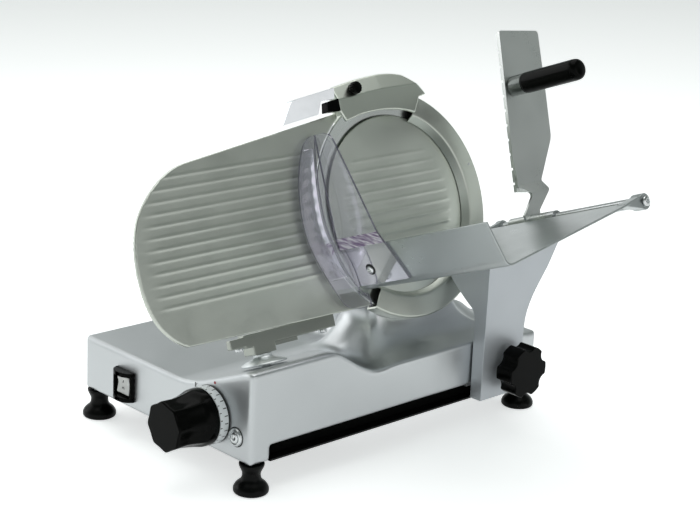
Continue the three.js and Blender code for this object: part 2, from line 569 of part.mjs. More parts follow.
// Spindle, bearings, pulleys, belt and motor inside the housing
const SPINDLE_R = 9.7;
const BELT_K = HOUSE_BACK + 12.5;
const BELT_W = 8;
const BELT_T = 2.3;
piece('blade_spindle', solid(turned([
  [TIE_R + 0.5, HOUSE_BACK + 5], [SPINDLE_R, HOUSE_BACK + 5], [SPINDLE_R, HOUSE_K - 3 + GAP],
  [CAP_R - 3, HOUSE_K - 3 + GAP], [CAP_R - 3, DISH - GAP], [BORE_R - GAP, DISH - GAP],
  [BORE_R - GAP, DISH + 1.9], [TIE_R + 0.5, DISH + 1.9], [TIE_R + 0.5, HOUSE_BACK + 5],
], BLADE_C, N, MED)), finish.steel);
const bearing = (k0) => tube(SPINDLE_R + GAP, BEARING_R, k0, k0 + BEARING_L, BLADE_C, N, MED);
piece('bearing_front', bearing(BEARING_1), finish.steel);
piece('bearing_rear', bearing(BEARING_2), finish.steel);
piece('blade_pulley', solid(turned([
  [SPINDLE_R + GAP, BELT_K - 6], [16, BELT_K - 6], [16, BELT_K - 1.5], [PULLEY_R - 6, BELT_K - 1.5],
  [PULLEY_R - 6, BELT_K - 4.5], [PULLEY_R, BELT_K - 4.5], [PULLEY_R, BELT_K + 4.5],
  [PULLEY_R - 6, BELT_K + 4.5], [PULLEY_R - 6, BELT_K + 1.5], [16, BELT_K + 1.5], [16, BELT_K + 6.5],
  [SPINDLE_R + GAP, BELT_K + 6.5], [SPINDLE_R + GAP, BELT_K - 6],
], BLADE_C, N, 32)), finish.cast);
piece('motor_pulley', solid(turned([
  [0, HOUSE_BACK - 18], [5, HOUSE_BACK - 18], [5, BELT_K - 6.5], [PINION_R + 2, BELT_K - 6.5],
  [PINION_R + 2, BELT_K - 4.3], [PINION_R, BELT_K - 4.3], [PINION_R, BELT_K + 4.3],
  [PINION_R + 2, BELT_K + 4.3], [PINION_R + 2, BELT_K + 6.5], [0, BELT_K + 6.5],
], driveAxis, N, 16)), finish.steel);
const loop = (add) => {
  const big = PULLEY_R + add;
  const small = PINION_R + add;
  const lean = Math.asin((big - small) / Math.abs(DRIVE_W));
  const shape = new THREE.Shape();
  shape.absarc(0, 0, big, -lean, Math.PI + lean, false);
  shape.absarc(0, DRIVE_W, small, Math.PI + lean, 2 * Math.PI - lean, false);
  shape.closePath();
  return shape;
};
piece('drive_belt', cut(
  solid(alongN(loop(GAP + BELT_T), BELT_K - BELT_W / 2, BELT_K + BELT_W / 2, 12)),
  alongN(loop(GAP), BELT_K - BELT_W, BELT_K + BELT_W, 12),
), finish.rubber);
const motorBack = HOUSE_BACK - MOTOR_L;
piece('motor', solid(turned([
  [0, motorBack], [MOTOR_R - 10, motorBack], [MOTOR_R - 3, motorBack + 3], [MOTOR_R, motorBack + 8],
  [MOTOR_R, HOUSE_BACK - 4], [MOTOR_R - 3, HOUSE_BACK - GAP], [PINION_R + 3, HOUSE_BACK - GAP],
  [PINION_R + 3, HOUSE_BACK + 3.5], [5.4, HOUSE_BACK + 3.5], [5.4, HOUSE_BACK - 20], [0, HOUSE_BACK - 20],
], driveAxis, N, MED)), finish.black);

// Ring guard: channel round the free part of the edge, its wide front face covers the blade ring
const ringSkin = 1.3;
const ringIn = BLADE_R - 20;
let ring = solid(turned([
  [ringIn - 6.4, -5.8], [ringIn - 4.6, -5.8], [ringIn, 1.1], [RING_R - 2.1, 1.1], [RING_R - 2.1, DISH - 0.6],
  [ringIn, DISH - 0.6], [ringIn, HOUSE_K + GAP], [RING_R, HOUSE_K + GAP], [RING_R, 1.1 + GAP],
  [RING_R - 1, 1.1 + ringSkin], [ringIn - 0.6, 1.1 + ringSkin], [ringIn - 6.4, -5.8],
], BLADE_C, N, BIG));
const away = BLADE_R + 95;
ring = cut(ring, alongN(polygon([
  [38.5, BLADE_R - 28], [62, BLADE_R + 8.3], [0, away - 20], [-away, away - 20], [-away, -150],
  [-98, -150], [-60, -86], [0, 0],
]), -20, 10));
piece('ring_guard', ring, finish.plate);

// Slice deflector: bent steel strip on the slice side of the housing
const arc = new THREE.Shape();
const from = THREE.MathUtils.degToRad(125);
const to = THREE.MathUtils.degToRad(205);
arc.absarc(0, 0, HOUSE_R + 1.8, from, to, false);
arc.absarc(0, 0, HOUSE_R + GAP, to, from, true);
arc.closePath();
piece('slice_deflector', join(
  alongN(arc, HOUSE_K - 30, HOUSE_K - 2, 16),
  tilted(-HOUSE_R - 30, -HOUSE_R - 1, -6, 12, HOUSE_K - 30, HOUSE_K - 28.4),
), finish.steel);

// Sharpener: cast body straddling the top of the blade. Its outlines are drawn from the blade edge.
const LID_K = 2.8;
const LID_T = 11.2;
const rim = (u, up) => [u, BLADE_R + up];
const lid = new THREE.Shape();
lid.moveTo(...rim(-76.5, 14));
lid.quadraticCurveTo(...rim(-36, 21.5), ...rim(0, 22.4));
lid.quadraticCurveTo(...rim(18, 22.4), ...rim(32, 18));
lid.quadraticCurveTo(...rim(48, 8), ...rim(58.6, -8));
lid.lineTo(...rim(47, -10));
lid.lineTo(...rim(36, -27));
lid.quadraticCurveTo(...rim(0, -14), ...rim(-50, -20.5));
lid.lineTo(...rim(-70, -25));
lid.lineTo(...rim(-76.6, -13));
lid.closePath();
const rearLid = polygon([rim(-50, -27), rim(37, -27), rim(37, 11), rim(0, 18), rim(-50, 15)]);
const lidHollow = polygon([
  rim(-73, -45), rim(43.5, -45), rim(43.5, -10), rim(42, 3), rim(28, 10), rim(0, 14.4), rim(-50, 11), rim(-73, 8),
]);
const rearHollow = polygon([rim(-46.5, -45), rim(33.5, -45), rim(33.5, 6), rim(0, 13.6), rim(-46.5, 10)]);
const knobAt = at(...rim(-50, 11), 0);
const REAR_LID = -30;
piece('sharpener_body', cut(
  join(alongN(lid, LID_K, LID_K + LID_T, 8), alongN(rearLid, REAR_LID, LID_K + 0.2, 8)),
  alongN(lidHollow, LID_K - 0.1, LID_K + LID_T - 4.6),
  alongN(rearHollow, REAR_LID + 12.6, LID_K + 0.2),
  rod(BLADE_R + 2.4, HOUSE_K + GAP, LID_K - 0.1, BLADE_C, N, BIG),
  rod(STUD_R + GAP, LID_K + 6, LID_K + LID_T + 1, knobAt, N, SMALL),
  rod(HOUSE_R + GAP, REAR_LID - 1, HOUSE_K, BLADE_C, N, BIG),
), finish.cast);
const STONE_R = 9;
piece('grinding_stone', rod(STONE_R, REAR_LID + 12.9, -10.8, at(...rim(-22, -6), 0), N, 24), finish.stone);
piece('deburring_stone', rod(STONE_R, 0.8, LID_K + LID_T - 4.9, at(...rim(12, -6.5), 0), N, 24), finish.stone);
// Polished end cover on the sharpener arm, with a black catch under it
const COVER_END = -156;
piece('sharpener_end_cover', solid(alongN(rounded([
  rim(-80.5, 0.8), [...rim(-80.2, 13), 1], [...rim(COVER_END + 13.5, 5.5), 5], [...rim(COVER_END, -19.1), 1],
  rim(-104.5, -13.2), rim(-100.2, 0.8),
]), LID_K, LID_K + LID_T + 2, 5)), finish.chrome);
piece('sharpener_catch', solid(alongN(polygon([
  rim(-104, -13.6), rim(-99.8, 0.4), rim(-77, 0.4), rim(-77, -12), rim(-96, -15.4),
]), LID_K + 1.2, LID_K + LID_T + 2.6, 1)), finish.plastic);
const capK = LID_K + LID_T + GAP;
piece('sharpener_knob', solid(turned([
  [0, LID_K + 7], [STUD_R, LID_K + 7], [STUD_R, capK], [6, capK], [6, capK + 2.7], [7.3, capK + 3.7],
  [7.3, capK + 9.7], [6.3, capK + 10.7], [0, capK + 10.7],
], knobAt, N, 20)), finish.plastic);

// Carriage: block on the slide rod, arm, tray, guard and pusher
piece('slide_rod', rod(SLIDE_R, FRONT + WALL + GAP, REAR - WALL - GAP, rodAxisY, Y, 24), finish.steel);
piece('slide_rod_plug', solid(turned([
  [0, FRONT - 4], [8, FRONT - 4], [10.2, FRONT - 2.5], [10.2, FRONT - GAP], [6, FRONT - GAP],
  [6, FRONT + WALL], [0, FRONT + WALL],
], rodAxisY, Y, 24)), finish.bright);
piece('guide_bar', block(
  BAR_X - BAR_W / 2, BAR_X + BAR_W / 2, FRONT + WALL + GAP, REAR - WALL - GAP, BAR_Z, BAR_Z + 8,
), finish.steel);
const ARM_X = RIGHT + 2.6;
const ARM_OUT = ARM_X + ARM_T;
const ARM_Y = BLADE_C.y + ARM_U;
const CAR_Y = ARM_Y + 33;        // middle of the carriage block
const TONGUE_T = 8;
const tongueX = ARM_X + 3.5;
const tongueTop = SLOT_Z + 41;
const wing = CAR_Y - 15;
piece('carriage_block', cut(
  join(
    block(SLIDE_X - 15, SLIDE_X + 15, CAR_Y - 29, CAR_Y + 29, SLIDE_Z - 15, SLIDE_Z + 15),
    block(BAR_X - 9, SLIDE_X - 13, wing, wing + 30, BAR_Z + 11.1, BAR_Z + 17.1),
    block(BAR_X - 9, BAR_X - BAR_W / 2 - 0.4, wing, wing + 30, BAR_Z + 0.5, BAR_Z + 12.5),
    block(BAR_X + BAR_W / 2 + 0.4, BAR_X + 9, wing, wing + 30, BAR_Z + 0.5, BAR_Z + 12.5),
    block(SLIDE_X - 1, tongueX + TONGUE_T, CAR_Y - 16, CAR_Y + 16, BAR_Z, SLOT_Z - 1.5),
    block(tongueX, tongueX + TONGUE_T, CAR_Y - 16, CAR_Y + 16, BAR_Z, tongueTop),
  ),
  rod(SLIDE_R + GAP, CAR_Y - 40, CAR_Y + 40, rodAxisY, Y, 24),
), finish.cast);

// Arm: one upright casting that flares under the tray
const STAR_Z = SLIDE_Z + 11.5;
const starAt = new THREE.Vector3(0, CAR_Y + 9.5, STAR_Z);
const heightAt = (x, w) => (
  BLADE_C.z + (x - BLADE_C.x + w * Math.sin(TILT)) * Math.tan(TILT) + w * Math.cos(TILT)
);
const FLOOR_SLOPE = 0.1645;
const floorW = (u) => ROD_W - 0.5 + (u - ROD_U + 28) * FLOOR_SLOPE;
const FORK_X = ARM_X - 55.5;     // inner end of the arm, under the tray
const under = at(0, -80, TRAY_K + 2.2);
const underLow = at(0, -94, TRAY_K + 2.2);
const armFront = new THREE.Shape();
armFront.moveTo(ARM_X, FOOT_H + 3);
armFront.lineTo(ARM_OUT, FOOT_H + 3);
armFront.lineTo(ARM_OUT, heightAt(ARM_OUT, -40));
armFront.lineTo(FORK_X, heightAt(FORK_X, -40));
armFront.lineTo(under.x, under.z);
armFront.lineTo(underLow.x, underLow.z);
armFront.quadraticCurveTo(ARM_X - 23.5, CREST_Z + 16.5, ARM_X - 8.5, CREST_Z + 6.5);
armFront.quadraticCurveTo(ARM_X - 1.9, CREST_Z + 1.5, ARM_X - 1.3, CREST_Z - 8.5);
armFront.closePath();
const armBack = ARM_Y + ARM_W;
const armSide = new THREE.Shape();
armSide.moveTo(ARM_Y, FOOT_H + 3);
armSide.lineTo(armBack - 1, FOOT_H + 3);
armSide.lineTo(armBack - 0.4, DECK_Z + 17);
armSide.bezierCurveTo(armBack, DECK_Z + 44, armBack + 18, DECK_Z + 64, armBack + 33, DECK_Z + 84);
armSide.lineTo(armBack + 50, DECK_Z + 113);
armSide.lineTo(armBack + 42, DECK_Z + 117);
armSide.lineTo(armBack + 13, DECK_Z + 117);
armSide.lineTo(armBack + 7, DECK_Z + 150);
armSide.lineTo(ARM_Y, DECK_Z + 150);
armSide.closePath();
const overFloor = polygon([
  [-120, floorW(-120) - GAP], [ROD_U, floorW(ROD_U) - GAP], [ROD_U, 60], [-120, 60],
]);
const SWING_R = 17.5;            // room for the foot of the pusher as it swings
piece('carriage_arm', cut(
  solid(alongY(armFront, ARM_Y - 8, armBack + 60, 8)).intersect(solid(alongX(armSide, 80, ARM_OUT, 8))),
  alongN(overFloor, -40, 140),
  rod(SWING_R, -20, 140, at(ROD_U, ROD_W, 0), N, 24),
  tilted(108, 175, -75, -20, -10, 18),
  block(tongueX - GAP, tongueX + TONGUE_T + GAP, CAR_Y - 16.3, CAR_Y + 16.3, FOOT_H - 3, tongueTop + GAP),
  block(ARM_X - 6.5, tongueX, CAR_Y - 16.3, CAR_Y + 16.3, FOOT_H - 3, SLOT_Z - 1.2),
  rod(TIE_R + GAP, tongueX + TONGUE_T - 1, ARM_OUT + 8, starAt, X, SMALL),
), finish.cast);

// Star knob: six lobes on a stud that clamps the arm on its tongue
const STAR_R = 30;
const LOBE = 3.8;
const starPoints = [];
for (let i = 0; i < 48; i += 1) {
  const a = (i / 48) * 2 * Math.PI;
  const r = STAR_R - LOBE + LOBE * Math.cos(6 * a);
  starPoints.push([starAt.y + r * Math.cos(a), starAt.z + r * Math.sin(a)]);
}
piece('star_knob', join(
  alongX(polygon(starPoints), ARM_OUT + 12.5, ARM_OUT + 36.5, 1),
  rod(14, ARM_OUT + 4.5, ARM_OUT + 13.5, starAt, X, 20),
  rod(TIE_R, tongueX + TONGUE_T + GAP, ARM_OUT + 6, starAt, X, SMALL),
), finish.plastic);

// Tray: folded front wall, sloping floor, and rolled ends that hold the pusher rod
const TRAY_END = TRAY_K + TRAY_L;
const topU = -109;
const topW = -36.5;
const footU = -91;
const footW = -84.5;
const lean = new THREE.Vector2(topU - footU, topW - footW).normalize();
const inU = lean.y * TRAY_T;
const inW = -lean.x * TRAY_T;
const floorTop = (u) => floorW(u) + TRAY_T;
const TRAY_REAR = ROD_U - 24;
const trayShape = new THREE.Shape();
trayShape.moveTo(topU, topW);
trayShape.lineTo(footU - 3, footW + 8);
trayShape.quadraticCurveTo(footU - 0.5, footW, footU + 9, floorW(footU + 9));
trayShape.lineTo(TRAY_REAR, floorW(TRAY_REAR));
trayShape.lineTo(TRAY_REAR, floorTop(TRAY_REAR));
trayShape.lineTo(footU + 16, floorTop(footU + 16));
trayShape.quadraticCurveTo(footU + 6, floorTop(footU + 6), footU - 2 + inU, footW + 9 + inW);
trayShape.lineTo(topU + inU, topW + inW);
trayShape.closePath();
const END_TAB = 15;
const INNER_TAB = 8;
const EYE_R = 9.2;
const tabU = TRAY_REAR - 8;
const tab = polygon([
  [tabU, floorW(tabU) + 0.3], [ROD_U, ROD_W - EYE_R + 0.7], [ROD_U, ROD_W + EYE_R - 0.4],
  [tabU, floorTop(tabU) - 0.3],
]);
const rodAxis = at(ROD_U, ROD_W, 0);
const screwW = footW + 23;
const screwU = footU + (screwW - footW) * (topU - footU) / (topW - footW);
const outward = U.clone().multiplyScalar(-lean.y).addScaledVector(W, lean.x);
const screwAt = at(screwU, screwW, TRAY_K + 33.2);
const SCREW_R = 2;
piece('product_tray', cut(
  join(
    alongN(trayShape, TRAY_K, TRAY_END, 6),
    alongN(tab, TRAY_END - END_TAB, TRAY_END - 0.4, 6),
    alongN(tab, TRAY_K + 0.4, TRAY_K + INNER_TAB, 6),
    rod(EYE_R, TRAY_END - END_TAB, TRAY_END - 0.2, rodAxis, N, 20),
    rod(EYE_R, TRAY_K + 0.2, TRAY_K + INNER_TAB, rodAxis, N, 20),
  ),
  rod(ROD_R + GAP, TRAY_K - 1, TRAY_END + 1, rodAxis, N, 24),
  rod(SCREW_R + 0.4, -8, 2, screwAt, outward, SMALL),
), finish.plate);

// Clear hand guard: fin on the front wall, with a wing in front of the gauge plate
const GUARD_T = 2.5;
const GUARD_K = TRAY_K + 0.4;
const FIN_U = topU - 2.5;
const FIN_W = topW + 12.5;
const FIN_TOP = topW + 127.5;
const wallU = (w, off) => footU + (w - footW) * (topU - footU) / (topW - footW) - off / lean.y;
const inside = (w) => [wallU(w, GAP), w];
const outside = (w) => [wallU(w, GAP + GUARD_T), w];
const finSection = polygon([
  inside(footW + 5.5), outside(footW + 5.5), outside(topW), [FIN_U - GUARD_T, FIN_W], [FIN_U - GUARD_T, FIN_TOP],
  [FIN_U, FIN_TOP], [FIN_U, FIN_W], inside(topW),
]);
const finSide = new THREE.Shape();
finSide.moveTo(GUARD_K, footW - 7.5);
finSide.lineTo(GUARD_K + 82, footW + 5.5);
finSide.lineTo(GUARD_K + 72, topW - 1.5);
finSide.lineTo(GUARD_K + 64, topW + 16.5);
finSide.quadraticCurveTo(GUARD_K + 46, topW + 68.5, GUARD_K + 31, topW + 108.5);
finSide.quadraticCurveTo(GUARD_K + 25, FIN_TOP - 1, GUARD_K + 13, FIN_TOP);
finSide.lineTo(GUARD_K, FIN_TOP);
finSide.closePath();
const wingShape = new THREE.Shape();
wingShape.moveTo(FIN_U, FIN_TOP);
wingShape.quadraticCurveTo(FIN_U - 16.5, FIN_TOP, FIN_U - 23.5, FIN_TOP - 12);
wingShape.bezierCurveTo(FIN_U - 41.5, 50, FIN_U - 50.5, 0, FIN_U - 39.5, topW + 4.5);
wingShape.quadraticCurveTo(FIN_U - 28.5, topW - 27.5, FIN_U - 10.1, footW - 9.2);
wingShape.quadraticCurveTo(FIN_U - 0.5, footW - 19.5, footU + 9, footW - 18.5);
wingShape.lineTo(footU + 7, footW - 3.5);
wingShape.lineTo(footU - 6, footW - 2.5);
wingShape.lineTo(...inside(footW + 8.5));
wingShape.lineTo(...inside(topW));
wingShape.lineTo(FIN_U, FIN_W);
wingShape.closePath();
const fin = solid(alongN(finSection, GUARD_K, GUARD_K + 90, 6))
  .intersect(solid(alongU(finSide, FIN_U - 20, footU + 30, 8)));
piece('hand_guard', cut(
  fin.add(solid(alongN(wingShape, GUARD_K, GUARD_K + GUARD_T, 10))),
  rod(SCREW_R + 0.4, -8, 20, screwAt, outward, SMALL),
), finish.clear);
const headLow = GAP + GUARD_T + 0.6;
piece('guard_screw', solid(turned([
  [0, -TRAY_T - 2], [SCREW_R, -TRAY_T - 2], [SCREW_R, headLow], [4.5, headLow], [4.5, headLow + 1.6],
  [3, headLow + 2.6], [0, headLow + 2.6],
], screwAt, outward, SMALL)), finish.chrome);

// Pusher rod, with a screw in its outer end
const TAP_R = 2.6;
piece('pusher_rod', solid(turned([
  [0, TRAY_K + 0.5], [ROD_R, TRAY_K + 0.5], [ROD_R, TRAY_END - 1], [TAP_R, TRAY_END - 1],
  [TAP_R, TRAY_END - 12], [0, TRAY_END - 12],
], rodAxis, N, 24)), finish.steel);
piece('rod_end_screw', solid(turned([
  [0, TRAY_END - 11], [TAP_R - GAP, TRAY_END - 11], [TAP_R - GAP, TRAY_END + GAP], [7.5, TRAY_END + GAP],
  [7.5, TRAY_END + 2.5], [5.5, TRAY_END + 4], [0, TRAY_END + 4],
], rodAxis, N, SMALL)), finish.chrome);

// Pusher: steel plate with a step, on a sleeve, with a toothed grip plate and a handle
const SLEEVE_R = ROD_R + 2.8;
const COLLAR_L = 11;
const onRod = (u, w, r = 0) => [ROD_U + u, ROD_W + w, r];
const stepTop = ROD_W + 45;
const stepLow = ROD_W + 34;
const fold = PUSH_T * Math.tan(Math.atan2(JOG, stepTop - stepLow) / 2);
const pushShape = rounded([
  onRod(-12, 4), onRod(13, 4), onRod(14, 12.5), onRod(35, 31, 1), onRod(38.5, 36, 1), onRod(37.5, 47, 1),
  onRod(69, 93, 6), onRod(75.5, 146, 4), onRod(83.5, 220, 5), onRod(17, 225.5, 3), onRod(-4, 76, 4),
  onRod(-3, 54, 1), onRod(-6, 43, 1), onRod(5.6, 34.5, 2), onRod(5.8, 29.5, 2), onRod(-13.5, 9.5, 1),
]);
const stepped = polygon([
  [PUSH_K, ROD_W + 240], [PUSH_K, stepTop - fold], [PUSH_K + JOG, stepLow - fold], [PUSH_K + JOG, ROD_W],
  [PUSH_K + JOG + PUSH_T, ROD_W], [PUSH_K + JOG + PUSH_T, stepLow], [PUSH_K + PUSH_T, stepTop],
  [PUSH_K + PUSH_T, ROD_W + 240],
]);
const HANDLE_R = 12.4;
const HANDLE_L = 84;
const COLLAR_H = 20;             // steel collar under the handle
const handleAxis = at(ROD_U + 22, ROD_W + 159, 0);
const collarK = SLEEVE_K + SLEEVE_L - COLLAR_L;
piece('pusher_arm', cut(
  solid(alongN(pushShape, PUSH_K - 1, PUSH_K + JOG + PUSH_T + 1, 4))
    .intersect(solid(alongU(stepped, ROD_U - 60, ROD_U + 120, 4)))
    .add(solid(rod(SLEEVE_R, SLEEVE_K, collarK - GAP, rodAxis, N, 20))),
  rod(ROD_R + GAP, SLEEVE_K - 1, collarK + 1, rodAxis, N, 20),
  rod(TIE_R + GAP, PUSH_K - 5, PUSH_K + 10, handleAxis, N, SMALL),
), finish.steel);
piece('pusher_collar', solid(
  tube(ROD_R + GAP, SLEEVE_R, collarK, SLEEVE_K + SLEEVE_L, rodAxis, N, 20),
), finish.steel);
const GRIP_T = 4;
const TEETH = 10;
const gripBack = PUSH_K - GAP - GRIP_T;
const gripEdge = (w) => -5.5 + 23.8 * (w - 38) / 186;
const grip = rounded([
  onRod(gripEdge(38), 38), onRod(15.5, 35, 2), onRod(24, 60, 4), onRod(44, 218, 3), onRod(gripEdge(224), 224, 2),
]);
let gripBody = solid(alongN(grip, gripBack, PUSH_K - GAP, 4));
for (let i = 0; i < TEETH; i += 1) {
  const w = 48 + i * 17;
  const [u0, w0] = onRod(gripEdge(w), w);
  gripBody = cut(gripBody, tilted(u0 - 2, u0 + 2.6, w0 - 1.4, w0 + 1.4, gripBack - 1, PUSH_K));
}
gripBody = cut(gripBody, rod(TIE_R + GAP, gripBack - 1, PUSH_K + 1, handleAxis, N, SMALL));
piece('grip_plate', gripBody, finish.steel);
const handleK = PUSH_K + PUSH_T + GAP;
const seat = handleK + COLLAR_H;
piece('handle_collar', solid(turned([
  [0, PUSH_K - 3], [TIE_R, PUSH_K - 3], [TIE_R, handleK], [HANDLE_R - 2, handleK], [HANDLE_R - 0.6, handleK + 4],
  [HANDLE_R - 0.6, seat], [TIE_R, seat], [TIE_R, seat + 46], [0, seat + 46],
], handleAxis, N, 24)), finish.steel);
piece('pusher_handle', solid(turned([
  [TIE_R + GAP, seat + GAP], [HANDLE_R, seat + GAP], [HANDLE_R, seat + HANDLE_L - 9],
  [HANDLE_R - 1.4, seat + HANDLE_L - 4.5], [HANDLE_R - 5, seat + HANDLE_L - 1], [0, seat + HANDLE_L],
  [0, seat + 47], [TIE_R + GAP, seat + 47], [TIE_R + GAP, seat + GAP],
], handleAxis, N, 24)), finish.plastic);

// Cable gland in the rear wall
piece('cable_gland', solid(turned([
  [0, REAR - 12], [GLAND_R, REAR - 12], [GLAND_R, REAR + GAP], [GLAND_R + 3, REAR + GAP],
  [GLAND_R + 3, REAR + 5], [GLAND_R, REAR + 10], [0, REAR + 10],
], glandAxis, Y, 20)), finish.plastic);

// The origin is the middle of the outline on the table
const box = new THREE.Box3().setFromObject(group);
const middle = box.getCenter(new THREE.Vector3());
for (const mesh of group.children) {
  mesh.geometry.translate(-middle.x, -middle.y, -box.min.z);
}

export default group;
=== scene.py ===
# Electric gravity feed slicer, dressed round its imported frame, in the order it is put together.
import math
from functools import reduce

import bmesh
import bpy
import numpy as np
from mathutils import Matrix, Vector

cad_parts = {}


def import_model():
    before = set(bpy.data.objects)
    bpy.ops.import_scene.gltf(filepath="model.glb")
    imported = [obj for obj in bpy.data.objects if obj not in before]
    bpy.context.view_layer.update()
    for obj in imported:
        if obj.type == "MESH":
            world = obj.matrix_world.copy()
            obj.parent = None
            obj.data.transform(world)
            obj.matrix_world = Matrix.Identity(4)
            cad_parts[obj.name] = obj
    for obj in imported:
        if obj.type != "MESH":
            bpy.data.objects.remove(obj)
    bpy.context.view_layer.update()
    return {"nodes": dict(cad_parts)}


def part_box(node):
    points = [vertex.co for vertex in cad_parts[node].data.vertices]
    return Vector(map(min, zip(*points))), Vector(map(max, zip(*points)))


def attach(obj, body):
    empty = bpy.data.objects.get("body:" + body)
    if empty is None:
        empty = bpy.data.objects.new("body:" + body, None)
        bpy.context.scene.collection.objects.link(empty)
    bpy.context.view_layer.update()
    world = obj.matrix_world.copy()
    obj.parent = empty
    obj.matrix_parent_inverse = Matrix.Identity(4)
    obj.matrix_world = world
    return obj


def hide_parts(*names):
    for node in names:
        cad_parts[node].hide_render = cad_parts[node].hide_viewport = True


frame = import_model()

# Camera. The photograph was taken from the front right, a little above the tray, with a long
# lens. The machine's own frame, in millimetres, has its origin under the middle of the casing.
casing_low, casing_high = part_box("base_casting")
MIDDLE = np.array([(casing_low.x + casing_high.x) / 2, (casing_low.y + casing_high.y) / 2, 0])


def world(x, y, z):
    return Vector(MIDDLE + np.array((x, y, z)) / 1000)


def put(name, data):
    thing = bpy.data.objects.new(name, data)
    bpy.context.scene.collection.objects.link(thing)
    return thing


VIEW_AZ, VIEW_EL, VIEW_ROLL = (math.radians(v) for v in (45.76, 16.82, 2.87))
FOCAL_PX, IMAGE_W, SENSOR_MM = 1782, 700, 36
EYE_RIGHT, EYE_UP, EYE_BACK = 43.3, 168.4, 2079
back = Vector((math.sin(VIEW_AZ) * math.cos(VIEW_EL), -math.cos(VIEW_AZ) * math.cos(VIEW_EL), math.sin(VIEW_EL)))
level = Vector((math.cos(VIEW_AZ), math.sin(VIEW_AZ), 0))
raised = back.cross(level)
right = math.cos(VIEW_ROLL) * level + math.sin(VIEW_ROLL) * raised
top = -math.sin(VIEW_ROLL) * level + math.cos(VIEW_ROLL) * raised
eye = EYE_RIGHT * right + EYE_UP * top + EYE_BACK * back
lens = bpy.data.cameras.new("camera")
lens.sensor_width, lens.lens, lens.clip_end = SENSOR_MM, FOCAL_PX / IMAGE_W * SENSOR_MM, 50
camera = put("camera", lens)
camera.matrix_world = Matrix.Translation(world(*eye)) @ Matrix((right, top, back)).transposed().to_4x4()
bpy.context.scene.camera = camera
bpy.context.scene.view_settings.view_transform = "Standard"


# Studio. White floor, and a surround that is white at the horizon and greyer higher up, which the
# satin aluminium mirrors. A black and a white card hang in it beside the tray. One soft lamp is
# overhead and two are at the left.
def linear(code):
    parts = [int(code[i:i + 2], 16) / 255 for i in (1, 3, 5)]
    return tuple(v / 12.92 if v <= 0.04045 else ((v + 0.055) / 1.055) ** 2.4 for v in parts) + (1,)


def wire(tree, node, inputs):
    """Sets a node's inputs: a socket is linked, anything else becomes the value."""
    for key, value in inputs.items():
        if isinstance(value, bpy.types.NodeSocket):
            tree.links.new(value, node.inputs[key])
        else:
            node.inputs[key].default_value = value


def add(tree, kind, inputs=None, **settings):
    node = tree.nodes.new("ShaderNode" + kind)
    for key, value in settings.items():
        setattr(node, key, value)
    wire(tree, node, inputs or {})
    return node


def span(tree, value, low, high, to_low=0.0, to_high=1.0):
    """A value moved from one range to another, and kept inside it."""
    return add(tree, "MapRange", {"Value": value, "From Min": low, "From Max": high,
                                  "To Min": to_low, "To Max": to_high}).outputs["Result"]


def calc(tree, operation, a, b):
    return add(tree, "Math", {0: a, 1: b}, operation=operation).outputs["Value"]


def distance(tree, spot, point):
    return add(tree, "VectorMath", {0: spot, 1: point}, operation="DISTANCE").outputs["Value"]


def shades(tree, value, *pairs):
    """Colours along a value, from pairs of a place and a hex code."""
    ramp = add(tree, "ValToRGB", {"Fac": value})
    elements = ramp.color_ramp.elements
    while len(elements) < len(pairs):
        elements.new(0.5)
    for element, (place_on, code) in zip(elements, pairs):
        element.position, element.color = place_on, linear(code)
    return ramp.outputs["Color"]


def blend(tree, share, first, second):
    return add(tree, "MixShader", {0: share, 1: first, 2: second}).outputs["Shader"]


def new_material(name, bare=False):
    """A material, its tree and its object coordinates, which are in metres."""
    material = bpy.data.materials.new(name)
    material.use_nodes = True
    if bare:
        material.node_tree.nodes.clear()
    return material, material.node_tree, add(material.node_tree, "TexCoord").outputs["Object"]


def shade(tree, inputs):
    wire(tree, tree.nodes["Principled BSDF"], inputs)


def hang_card(behind, code, direction, wide, narrow):
    """A card in this direction: none of it outside the wide angle, all of it inside the narrow one."""
    aim = tuple(Vector(direction).normalized())
    toward = add(tree, "VectorMath", {0: heading, 1: aim}, operation="DOT_PRODUCT").outputs["Value"]
    part = span(tree, toward, math.cos(math.radians(wide)), math.cos(math.radians(narrow)))
    return add(tree, "Mix", {0: part, 6: behind, 7: linear(code)}, data_type="RGBA").outputs[2]


surround = bpy.data.worlds.new("surround")
bpy.context.scene.world = surround
surround.use_nodes = True
tree = surround.node_tree
tree.nodes.clear()
heading = add(tree, "TexCoord").outputs["Generated"]
height = span(tree, add(tree, "SeparateXYZ", {"Vector": heading}).outputs["Z"], -1.0, 1.0)
studio = shades(tree, height, (0.48, "#ffffff"), (0.55, "#f2f6f7"), (0.60, "#cfd6d4"), (0.66, "#b9c0bd"),
                (0.76, "#6d7370"), (1.0, "#878d8a"))
backdrop = shades(tree, height, (0.435, "#ffffff"), (0.455, "#f6fbfb"), (0.50, "#dde3e2"))
studio = hang_card(studio, "#1c201e", (0.71, 0.675, 0.20), 13, 6)
studio = hang_card(studio, "#ffffff", (0.97, 0.06, 0.20), 26, 12)
sky, card = (add(tree, "Background", {"Color": colour}).outputs["Background"] for colour in (studio, backdrop))
by_camera = add(tree, "LightPath").outputs["Is Camera Ray"]
add(tree, "OutputWorld", {"Surface": blend(tree, by_camera, sky, card)})

for name, hung_at, aim_z, size, watts in (("overhead", (-0.3, 0.3, 2.2), 0.1, (2.2, 2.2), 22),
                                          ("left", (-1.9, -1.2, 1.1), 0.15, (1.2, 1.4), 7),
                                          ("left_high", (-1.45, 0.0, 0.98), 0.12, (1.0, 0.8), 2.6)):
    light = bpy.data.lights.new(name, "AREA")
    light.shape, light.energy = "RECTANGLE", watts
    light.size, light.size_y = size
    lamp = put(name, light)
    lamp.location = hung_at
    lamp.rotation_euler = (Vector((0, 0, aim_z)) - Vector(hung_at)).to_track_quat("-Z", "Y").to_euler()

